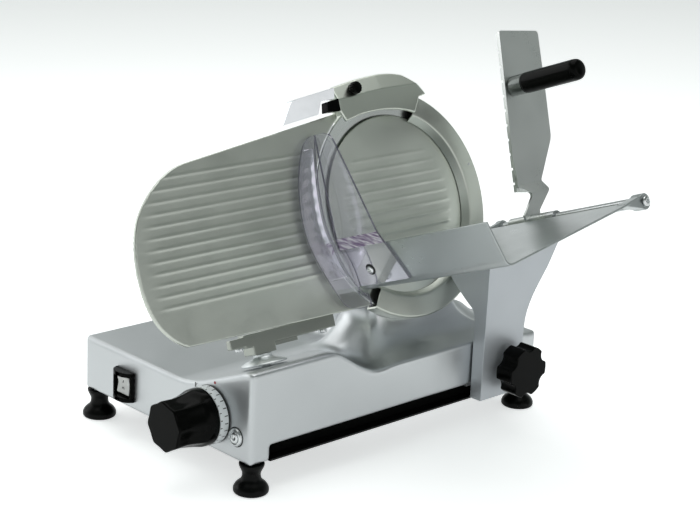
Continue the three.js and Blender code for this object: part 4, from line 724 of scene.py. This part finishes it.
steps = (1.6, 0.9, 0.8)
u, w, k = lattice((END, LOW_W, PLATE_K - PLATE_T), (TOP_U + 3, top_arc + 6, PLATE_K + 2.2), steps)
flat = np.maximum(outline_distance(u, w, plate), GAUGE_ARC - away(u, w))
height = np.full(np.broadcast(u, w).shape, PLATE_K)
for i in range(RIBS):
    rib_w = RIB_TOP - i * (RIB_TOP - RIB_LOW) / (RIBS - 1)
    rib_right = -math.sqrt((BLADE_R + 20 - 0.08 * (RIB_TOP - rib_w)) ** 2 - rib_w ** 2)
    rib_left = END + 72.5 - 66 * math.sqrt(max(1 - ((rib_w + 15) / BLADE_R) ** 2, 0))
    across = np.exp(-((w - rib_w) / RIB_W) ** 2)
    ends = ramp_between(u, rib_left, rib_left + 26) * ramp_between(-u, -rib_right, -rib_right + 5)
    height = height + RIB_H * across * ends
field = smax(smax(flat, PLATE_K - PLATE_T - k, 1.0), k - height, 0.7)
# Satin anodised aluminium plate: slightly warm grey, softer than the casing, with a very fine grain.
satin_plate = brushed("satin_anodised_plate", "#ced2ca", 0.36, (1, 0.12, 1), 0.9, 0.03)
cast("gauge_plate_cast", field, (u, w, k), steps, satin_plate, "gauge", "gauge_plate", ON_BLADE)

# Blade: dished ring of hardened chrome steel, ground to its edge in front, bolted on the spindle.
# Ground chrome steel: bright, with grinding rings round the blade's own axis.
DISH = -11.5
blade_steel, tree, spot = metal("ground_blade_steel", "#b4b8b6", 0.26)
ground = add(tree, "TexNoise", {"W": distance(tree, spot, tuple(world(*BLADE_CENTRE))), "Scale": 1000 / 0.7,
                                "Detail": 2.0}, noise_dimensions="1D")
relief(tree, ground.outputs["Fac"], 0.05, 0.3)
edge = [(20, DISH), (101.5, DISH, 1), (123.6, -1.5, 0.5), (BLADE_R, -2.1), (116, -5.8, 0.5), (103, DISH + 2, 1),
        (20, DISH + 2)]
lathe("blade_ground", edge, BLADE_CENTRE, OUT, blade_steel, "blade_unit", "blade", 0.2, 256)

# Blade cover: domed cast disc with ten ribs, seated in the dish and drawn back by the tie rod.
# Satin anodised aluminium like the gauge plate, painted paler to make up for the dark card that the dome mirrors:
# painted light.
steps = (1.3, 0.9, 0.8)
back_k, DISC_RIBS, DOME = DISH + 3.1, 10, 3.4
u, w, k = lattice((-COVER_R, -COVER_R, back_k), (COVER_R, COVER_R, back_k + 8.6), steps)
radial = away(u, w)
disc = smax(smax(radial - COVER_R, back_k - k, 1.0), 5 - radial - 100 * (k > back_k + 2.4), 0.3)
height = back_k + 1.8 + DOME * (1 - (radial / COVER_R) ** 2)
for i in range(DISC_RIBS):
    rib_w = COVER_R * (0.54 - 0.117 * i)
    reach = math.sqrt((COVER_R - 19.5) ** 2 - rib_w ** 2)
    across = np.exp(-((w - rib_w) / 1.8) ** 2)
    height = height + (0.3 + 0.07 * i) * across * ramp_between(reach - np.abs(u), 0, 9)
# Painted light: the disc's colour is paler than the plate's own.
satin_disc = brushed("satin_anodised_disc", "#e3e7df", 0.36, (1, 0.12, 1), 0.9, 0.03)
field = smax(disc, k - height, 0.7)
cast("blade_cover_cast", field, (u, w, k), steps, satin_disc, "root", "blade_cover", ON_BLADE)

# Ring guard: pressed and satin anodised channel over the free part of the blade's edge, screwed to
# the housing. A bevel runs round its inner side, down to the cover. It stops beside the sharpener.
RING_R, HOUSE_K = BLADE_R + 4, -14.0
ring = [(98.7, -5.7), (98.9, -5.2, 0.2), (104.6, 1.9, 2.5), (107, 2.35, 1.5), (RING_R - 1.6, 2.35, 2.2),
        (RING_R, 0.6, 2.2), (RING_R, HOUSE_K + 0.4, 0.8), (105.4, HOUSE_K + 0.4, 0.5), (105.4, HOUSE_K + 1.8),
        (RING_R - 2.2, HOUSE_K + 2.4), (RING_R - 2.2, 1.0), (106, 1.0), (100.2, -5.7)]
lathe("ring_guard_channel", ring, BLADE_CENTRE, OUT, satin_plate, "root", "ring_guard", 0.3, 200, (-124.2, 66.4))
lathe("ring_guard_rivet", [(0, 2.2), (1.6, 2.2), (1.4, 2.8, 0.3), (0, 3.0)], on_blade(103.6 * 1.12, 30), OUT,
      ground_steel, "root", soft=0.2, segments=32)

# Inside the housing: spindle, bearings, pulleys, belt and motor. They show only through the gaps.
# The stones are bonded abrasive: coarse pale grit.
grit = plain("bonded_abrasive", "#a79f92", 0.85, 0.9, 0.8)
for node in ("blade_spindle", "bearing_front", "bearing_rear", "motor_pulley", "cover_tie_rod"):
    dress(node, ground_steel)
for node, finish, bevel in (("blade_pulley", satin_cast, 0), ("drive_belt", rubber, 0), ("motor", black_paint, 0),
                            ("slice_deflector", ground_steel, 0.15), ("cover_knob", gloss_black, 0.6),
                            ("cable_gland", gloss_black, 0.5), ("grinding_stone", grit, 0.5),
                            ("deburring_stone", grit, 0.5)):
    dress(node, finish, bevel)

# Sharpener: cast aluminium hood over the top of the blade, with the two stones under it. It slides
# up its guide behind the blade when its small knob is slackened.
LID_K, LID_T, REAR_LID, COVER_END = 2.8, 11.2, -30.0, -156.0


def rim(*points):
    """Points given by their height over the blade's edge."""
    return [(p[0], BLADE_R + p[1]) for p in points]


lid = rim((-76.5, 14))
bend(lid, *rim((-49.5, 19), (-24, 22.1), (0, 22.4)))
bend(lid, *rim((12, 22.4), (22.7, 20.9), (32, 18)))
bend(lid, *rim((42.7, 11.3), (51.5, 2.7), (58.6, -8)))
lid += rim((47, -10), (36, -27))
bend(lid, *rim((12, -18.3), (-16.7, -16.2), (-50, -20.5)))
lid += rim((-70, -25), (-76.6, -13))
rear = rim((-50, -27), (37, -27), (37, 11), (0, 18), (-50, 15))
hollow = rim((-73, -45), (43.5, -45), (43.5, -10), (42, 3), (28, 10), (0, 14.4), (-50, 11), (-73, 8))
rear_hollow = rim((-46.5, -45), (33.5, -45), (33.5, 6), (0, 13.6), (-46.5, 10))
steps = (1.0, 0.9, 0.8)
u, w, k = lattice((-77, 97, REAR_LID), (59, 148, LID_K + LID_T), steps)
crease = np.interp(u, (-77, -8, 59), (BLADE_R - 0.8, BLADE_R + 4.7, BLADE_R + 5.2))
slant = (k - LID_K - LID_T + 0.5 * np.maximum(w - crease, 0)) * 0.89
top_field = smax(smax(outline_distance(u, w, lid), slant, 0.8), LID_K - k, 0.8)
rear_field = smax(smax(outline_distance(u, w, rear), REAR_LID - k, 2.0), k - LID_K - 1, 0.5)
hood = cut(smin(top_field, rear_field, 3), 0.5, outline_distance(u, w, hollow), LID_K - 0.5 - k, slant + 3.4)
hood = cut(hood, 0.5, outline_distance(u, w, rear_hollow), REAR_LID + 12.6 - k, k - LID_K - 0.4)
hood = cut(hood, 0.4, away(u, w) - BLADE_R - 2.4, HOUSE_K + 0.3 - k, k - LID_K + 0.1)
hood = cut(hood, 0.4, away(u, w) - 108.3, k - HOUSE_K)
# Tumbled cast aluminium: an even grey with soft highlights along the crease.
hood_cast = brushed("tumbled_cast_aluminium", "#dadfd5", 0.3, line_mm=1.0, strength=0.01, spread=0.012)
cast("sharpener_hood", hood, (u, w, k), steps, hood_cast, "sharpener", "sharpener_body", ON_BLADE)
# Mirror polished aluminium: its face leans forward, so it mirrors the white table.
mirror = brushed("mirror_polished_aluminium", "#f4f7fa", 0.12, line_mm=6.0, strength=0.02, spread=0.03)
end_cover = rim((-80.5, 0.8), (-80.2, 13), (COVER_END + 13.5, 5.5), (COVER_END, -19.1), (-104.5, -13.2),
                (-100.2, 0.8))
end_cover = soften([(*p, r) for p, r in zip(end_cover, (0.6, 1.5, 7, 1.5, 0.6, 0.6))])
prism("sharpener_end_plate", end_cover, LID_K, lambda u, w: LID_K + 5.2 + 7.8 * (w - BLADE_R + 19.1) / 32.1,
      ON_BLADE, mirror, "sharpener", "sharpener_end_cover", 0.7)
catch = soften(rim((-95, -12.6), (-92.5, -1.5), (-76, 1), (-76, -13)), 0.8)
prism("sharpener_catch_lever", catch, LID_K + 1.2, LID_K + LID_T + 0.6, ON_BLADE, gloss_black, "sharpener",
      "sharpener_catch", 0.7)
rings = [(2.6, -8, 0), (2.6, -4, 0), (5.6, -4, 0), (5.7, -1.6, 0), (6.7, -0.6, 0.6), (7.0, 0.4, 1), (7.0, 5.0, 1),
         (6.5, 6.1, 1), (5.8, 6.5, 0.6), (5, 6.6, 0)]
rings = [(radius, LID_K + LID_T + 0.3 + height, share) for radius, height, share in rings]


def knurled(angles):
    return 1 - 0.07 * (1 - np.abs(np.sin(7 * angles)))


lobed("sharpener_knob_head", rings, knurled, on_blade(-50, BLADE_R + 9.5), OUT, gloss_black, "sharpener_screw",
      "sharpener_knob", 168)

# Carriage: a cast block on the slide rod, and an upright cast arm whose foot clamps on the
# block's tongue. The arm flares under the tray.
# The arm is bead blasted before anodising, so it scatters light more widely than the casing.
blasted_cast = brushed("bead_blasted_cast_aluminium", "#cdd1d6", 0.48, line_mm=1.2, strength=0.03)
shade(blasted_cast.node_tree, {"Metallic": 0.55})
dress("carriage_block", satin_cast, 0.6)
dress("carriage_arm", blasted_cast, 1.3, 3)

# Star knob: moulded black knob with six rounded lobes on a threaded stud, which clamps the arm.
ARM_OUT, STAR_R = HALF_W + 18.6, 30.0
LOBES, VALLEY_R, VALLEY_AT = 6, 9.6, 34.6
star_centre = Vector((ARM_OUT, 150.5, 71.5))
star = []
for angle in np.radians(np.arange(0, 360, 2)):
    reach = STAR_R
    for valley in (np.arange(LOBES) + 0.5) * 2 * math.pi / LOBES:
        off = (angle - valley + math.pi) % (2 * math.pi) - math.pi
        side = VALLEY_AT * math.sin(off)
        if abs(side) < VALLEY_R and abs(off) < 1:
            reach = min(reach, VALLEY_AT * math.cos(off) - math.sqrt(VALLEY_R ** 2 - side ** 2))
    star.append((star_centre.y + reach * math.cos(angle), star_centre.z + reach * math.sin(angle)))
prism("star_knob_head", star, ARM_OUT + 9.6, ARM_OUT + 32.4, SEEN_FROM_SIDE, gloss_black, "arm_clamp",
      "star_knob", 1.3, 3)
hub = [(0, 4.6), (9.8, 4.6, 1), (11.8, 7, 2), (14, 10.4), (0, 10.4)]
lathe("star_knob_hub", hub, star_centre, X_AXIS, gloss_black, "arm_clamp", segments=72)
stud = [(0, -8), (3.9, -8), (3.9, 6), (0, 6)]
lathe("star_knob_stud", stud, star_centre, X_AXIS, ground_steel, "arm_clamp", segments=48)

# Product tray: one folded sheet of satin aluminium, with a high front wall, a floor that falls
# towards it, and eyes at the rear that hold the pusher rod.
# Satin brushed sheet: long fine lines across the tray.
satin_sheet = brushed("satin_brushed_sheet", "#bcc1c1", 0.32, (0.06, 1, 0.2), 0.7, 0.05)
TRAY_K, TRAY_END, SHEET, FLOOR_SLOPE = 4.8, 225.0, 2.4, 0.1645
ROD_U, ROD_W, EYE_R, EYE_HOLE = 142.0, -51.5, 9.2, 6.4
TRAY_REAR, TAB_U = ROD_U - 24, ROD_U - 32
FOOT_U, FOOT_W, EDGE_U, EDGE_W = -91.0, -84.5, -109.0, -36.5
lean_u, lean_w = Vector((EDGE_U - FOOT_U, EDGE_W - FOOT_W)).normalized()


def floor_w(u):
    return ROD_W - 0.5 + (u - ROD_U + 28) * FLOOR_SLOPE


under = [(EDGE_U, EDGE_W), (FOOT_U - 3, FOOT_W + 8)]
fold_w = floor_w(FOOT_U + 9)
bend(under, (FOOT_U - 1.3, FOOT_W + 2.7), (FOOT_U + 2.7, fold_w - 0.8), (FOOT_U + 9, fold_w))
under += [(TRAY_REAR, floor_w(TRAY_REAR))]
over = []
for i, (pu, pw) in enumerate(under):
    before, after = under[max(i - 1, 0)], under[min(i + 1, len(under) - 1)]
    run = Vector((after[0] - before[0], after[1] - before[1])).normalized()
    over.append((pu - run.y * SHEET, pw + run.x * SHEET))
under += over[::-1]
prism("tray_sheet", under, TRAY_K, TRAY_END, ON_BLADE, satin_sheet, "carriage", "product_tray", 0.7, 3)
tab = [(TAB_U, floor_w(TAB_U) + 0.2), (ROD_U - 4, ROD_W - EYE_R + 1.6), (ROD_U, ROD_W - EYE_R + 0.9),
       (ROD_U + 1, ROD_W + EYE_R - 1.0), (ROD_U - 5, ROD_W + EYE_R - 2.0), (TAB_U, floor_w(TAB_U) + SHEET + 0.5)]
rod_end = on_blade(ROD_U, ROD_W)
for name, near, far in (("outer", TRAY_END - 15, TRAY_END - 0.4), ("inner", TRAY_K + 0.4, TRAY_K + 8)):
    prism("tray_" + name + "_tab", tab, near, far, ON_BLADE, satin_sheet, "carriage", bevel=0.8)
    eye = [(EYE_HOLE, near), (EYE_R, near, 0.8), (EYE_R, far, 0.8), (EYE_HOLE, far, 0.6)]
    lathe("tray_" + name + "_eye", eye, rod_end, OUT, satin_sheet, "carriage", soft=0.3, segments=64)
# Chromed steel screws: small bright points.
chrome = brushed("chromed_steel", "#e2e4e5", 0.1, line_mm=2.0, strength=0.02, spread=0.03)
screw = [(0, -8), (2.2, -8), (2.2, 0.4), (5.6, 0.4, 0.3), (5.6, 2.6, 0.9), (2.9, 3.4, 0.4), (2.5, 3.2),
         (2.3, 0.9), (0, 0.8)]
screw = [(r, TRAY_END + h, *soft) for r, h, *soft in screw]
lathe("rod_end_screw_head", screw, rod_end, OUT, chrome, "carriage", "rod_end_screw", 0.1, 64)

# Hand guard: clear acrylic, moulded with a fin along the front wall, a shelf over the wall's top
# edge and a wing in front of the gauge plate. One screw holds it on the wall.
GUARD_T, GUARD_K = 2.5, TRAY_K + 0.4
FIN_U, FIN_W, FIN_TOP = EDGE_U - 2.5, EDGE_W + 12.5, EDGE_W + 127.5


def wall_u(w, off):
    return FOOT_U + (w - FOOT_W) * (EDGE_U - FOOT_U) / (EDGE_W - FOOT_W) - off / lean_w


def rays(tree, kind, colour, **more):
    """One kind of shader, in a colour that is a hex code or a socket."""
    colour = linear(colour) if isinstance(colour, str) else colour
    return add(tree, "Bsdf" + kind, {"Color": colour, **more}).outputs["BSDF"]


# Clear acrylic: nearly invisible face on, mirror-like at a glance, with a violet tint in its edges.
acrylic, tree, spot = new_material("clear_acrylic", bare=True)
fresnel = add(tree, "LayerWeight", {"Blend": 0.22}).outputs["Fresnel"]
clear = blend(tree, span(tree, fresnel, 0.0, 1.0, 0.12, 0.85), rays(tree, "Transparent", "#fcfcfd"),
              rays(tree, "Glossy", "#f4f2fb", Roughness=0.05))
scuffs = span(tree, mottle(tree, spot, 25, 4.0), 0.35, 0.75, 0.04, 0.1)
add(tree, "OutputMaterial", {"Surface": blend(tree, scuffs, clear, rays(tree, "Diffuse", "#e6e6ec"))})
# The sawn edge of the acrylic gathers the tint: violet grey, half see-through.
acrylic_edge, tree, spot = new_material("acrylic_edge", bare=True)
tint = shades(tree, mottle(tree, spot, 9), (0.35, "#5c5a6c"), (0.65, "#8b8899"))
half = blend(tree, 0.5, rays(tree, "Diffuse", tint), rays(tree, "Transparent", "#a39fb5"))
glint = rays(tree, "Glossy", "#ffffff", Roughness=0.15)
add(tree, "OutputMaterial", {"Surface": blend(tree, 0.2, half, glint)})
# The shelf of the guard is coloured with the acrylic's violet tint and with white streaks, painted light for the light
# it gathers along the bend.
acrylic_shelf, tree, spot = new_material("acrylic_shelf")
streaks = mottle(tree, pull(tree, spot, (60, 1000 / 9, 1000 / 2.5)), 1000, 2.0)
tint = shades(tree, streaks, (0.36, "#8a7399"), (0.5, "#bdb0c8"), (0.62, "#f1edf5"))
shade(tree, {"Roughness": 0.12, "Base Color": tint})

fin_edge = [(GUARD_K + 82, FOOT_W + 5.5), (GUARD_K + 72, EDGE_W - 1.5), (GUARD_K + 64, EDGE_W + 16.5)]
bend(fin_edge, (GUARD_K + 52, EDGE_W + 51), (GUARD_K + 41, EDGE_W + 82), (GUARD_K + 31, EDGE_W + 108.5), 14)
bend(fin_edge, (GUARD_K + 27, FIN_TOP - 4), (GUARD_K + 21, FIN_TOP), (GUARD_K + 13, FIN_TOP), 8)
edge_k, edge_w = np.array(fin_edge).T
WALL_ROWS, FIN_ROWS = 8, 40
# The fin is a sheet bent round a section: rows of an outer and an inner point, each run from
# GUARD_K to the fin's free edge.
points, faces, rims = [], [], []
for w in np.concatenate([np.linspace(FOOT_W + 5.5, EDGE_W, WALL_ROWS), np.linspace(FIN_W, FIN_TOP, FIN_ROWS)]):
    on_wall = w <= EDGE_W
    run_to = GUARD_K + 13 if w == FIN_TOP else float(np.interp(w, edge_w, edge_k))
    for u in (wall_u(w, 0.3 + GUARD_T), wall_u(w, 0.3)) if on_wall else (FIN_U - GUARD_T, FIN_U):
        points += [on_blade(u, w, GUARD_K), on_blade(u, w, run_to)]
last = len(points) - 4
for a in range(0, last, 4):
    faces += [(a, a + 4, a + 5, a + 1), (a + 2, a + 3, a + 7, a + 6)]
    rims += [(a, a + 2, a + 6, a + 4), (a + 1, a + 5, a + 7, a + 3)]
rims += [(0, 1, 3, 2), (last, last + 2, last + 3, last + 1)]
fin = place("hand_guard_fin", points, faces + rims, acrylic, "carriage", "hand_guard")
fin.data.materials.append(acrylic_edge)
fin.data.materials.append(acrylic_shelf)
for number, face in enumerate(fin.data.polygons):
    face.material_index = 2 if number // 2 == WALL_ROWS - 1 else int(number >= len(faces))
fin.data.set_sharp_from_angle(angle=math.radians(40))

wing = [(FIN_U - GUARD_T, FIN_TOP)]
bend(wing, (FIN_U - 11, FIN_TOP), (FIN_U - 18.8, FIN_TOP - 4), (FIN_U - 23.5, FIN_TOP - 12))
bend(wing, (FIN_U - 41.5, 50), (FIN_U - 50.5, 0), (FIN_U - 39.5, EDGE_W + 4.5), 20)
bend(wing, (FIN_U - 32.2, EDGE_W - 16.8), (FIN_U - 22.4, FOOT_W + 11.7), (FIN_U - 10.1, FOOT_W - 9.2))
bend(wing, (FIN_U - 3.7, FOOT_W - 16), (FIN_U + 6, FOOT_W - 19.2), (FOOT_U + 9, FOOT_W - 18.5))
wing += [(FOOT_U + 7, FOOT_W - 3.5), (FOOT_U - 6, FOOT_W - 2.5), (wall_u(FOOT_W + 8.5, 0.3), FOOT_W + 8.5),
         (wall_u(EDGE_W, 0.3 + GUARD_T), EDGE_W), (FIN_U - GUARD_T, FIN_W)]


def clear_panel(name, outline, low, high, bevel):
    """A flat clear panel whose sawn rim takes the edge tint."""
    piece = prism(name, outline, low, high, ON_BLADE, acrylic, "carriage", bevel=bevel)
    piece.data.materials.append(acrylic_edge)
    for face in piece.data.polygons:
        face.material_index = int(abs(Vector(face.normal).dot(OUT)) < 0.9)


WING_FACE = GUARD_K + GUARD_T
clear_panel("hand_guard_wing", wing, GUARD_K, WING_FACE, 0.5)
# A moulded step runs down the wing, where the mould is thicker.
ridge = [(-117, 87)]
bend(ridge, (-123, 60), (-127, 30), (-127, 5), 14)
bend(ridge, (-127, -12), (-124, -22), (-120, -30), 8)
bend(ridge, (-115, -58), (-98, -84), (-84, -97), 12)
clear_panel("hand_guard_ridge", ridge + [(p[0] + 1.3, p[1] + 0.4) for p in reversed(ridge)], WING_FACE - 0.2,
            WING_FACE + 0.9, 0.25)
# Left of the step the wing is moulded as a shallow rolled lip, whose waves catch the light.
LIP_ROWS, LIP_COLUMNS, LIP_LOW, LIP_HIGH, LIP_RISE, WAVE_MM = 110, 14, -66, 77, 3.2, 14.6
left_edge = [p for p in wing if p[0] < FIN_U - 20 and p[1] > FOOT_W + 2]
(left_u, left_w), (ridge_u, ridge_w) = (np.array(path[::-1]).T for path in (left_edge, ridge))
points, faces = [], []
for layer in (0, 1):
    for w in np.linspace(LIP_LOW, LIP_HIGH, LIP_ROWS):
        near = float(np.interp(w, ridge_w, ridge_u)) - 1.5
        far = float(np.interp(w, left_w, left_u)) + 1.2
        for across in np.linspace(0, 1, LIP_COLUMNS):
            wave = 0.35 * math.sin(2 * math.pi * w / WAVE_MM + 1.5 * across)
            ends = min(1, (LIP_HIGH - w) / 20, (w - LIP_LOW) / 20)
            rise = 0.25 + (LIP_RISE + wave) * math.sin(math.pi * across) * ends if layer else 0
            points.append((near + (far - near) * across, w, WING_FACE + 0.05 + rise))
size = LIP_ROWS * LIP_COLUMNS
grid = np.arange(size).reshape(LIP_ROWS, LIP_COLUMNS)
for a in grid[:-1, :-1].ravel().tolist():
    b = a + LIP_COLUMNS
    faces += [(a, b, b + 1, a + 1), (a + size, a + size + 1, b + size + 1, b + size)]
loop = [int(i) for side in (grid[0], grid[1:, -1], grid[-1, -2::-1], grid[-2:0:-1, 0]) for i in side]
faces += [(i, j, j + size, i + size) for i, j in zip(loop, loop[1:] + loop[:1])]
place("hand_guard_lip", to_machine(points, ON_BLADE), faces, acrylic, "carriage")

outward = -lean_w * ALONG + lean_u * UP
SCREW_W, WALL_FACE, SCREW_SEAT = FOOT_W + 23, 0.3 + GUARD_T, 0.9 + GUARD_T
screw_u = FOOT_U + (SCREW_W - FOOT_W) * (EDGE_U - FOOT_U) / (EDGE_W - FOOT_W)
screw_at = on_blade(screw_u, SCREW_W, TRAY_K + 33.2)
washer = [(4.2, WALL_FACE + 0.05), (6.6, WALL_FACE + 0.05, 0.2), (6.6, SCREW_SEAT - 0.4, 0.2),
          (4.2, SCREW_SEAT - 0.4)]
dark_washer = plain("black_washer", "#161816", 0.4)
lathe("guard_screw_washer", washer, screw_at, outward, dark_washer, "carriage", None, 0.1, 64)
head = [(1.9, -0.5), (4.5, -0.4, 0.1), (4.5, 0), (4.4, 1.3, 0.8), (2.6, 2.4, 0.5), (1.7, 2.4), (1.2, 1.2), (0, 1.0)]
head = [(0, -6), (1.9, -6)] + [(r, SCREW_SEAT + h, *soft) for r, h, *soft in head]
lathe("guard_screw_head", head, screw_at, outward, chrome, "carriage", "guard_screw", 0.1, 64)

# Pusher: a stepped steel plate on a sleeve that slides and turns on the rod, with a toothed grip
# plate on its blade side and a black handle through both.
# Brushed stainless sheet: fine lines up the plate.
stainless = brushed("brushed_stainless_sheet", "#d6d9d7", 0.32, (1, 1, 0.05), 0.5)
dress("pusher_arm", stainless, 0.45)
dress("grip_plate", stainless, 0.4)
# Burnished dark steel: tells the collar from the black handle that it carries.
dark_steel = brushed("burnished_dark_steel", "#6a6e6c", 0.26, strength=0.04)
SEAT = 72.3
handle_axis = on_blade(ROD_U + 22, ROD_W + 159)
collar = [(0, 46), (3.9, 46), (3.9, 52.4), (11.4, 52.4, 0.6), (11.7, 53.4, 0.5), (11.8, SEAT, 0.3), (0, SEAT)]
lathe("handle_collar_sleeve", collar, handle_axis, OUT, dark_steel, "pusher", "handle_collar", 0.2, 96)
grip = [(4.4, 0.3), (11.4, 0.3, 1), (12.2, 2, 1), (12.3, 30, 10), (12.4, 60, 10), (12.4, 76, 3), (11.6, 80.5, 3),
        (8.5, 83.2, 3), (0, 84), (0, 47), (4.4, 47)]
grip = [(r, SEAT + h, *soft) for r, h, *soft in grip]
lathe("pusher_handle_grip", grip, handle_axis, OUT, gloss_black, "pusher", "pusher_handle", 0.4, 96)

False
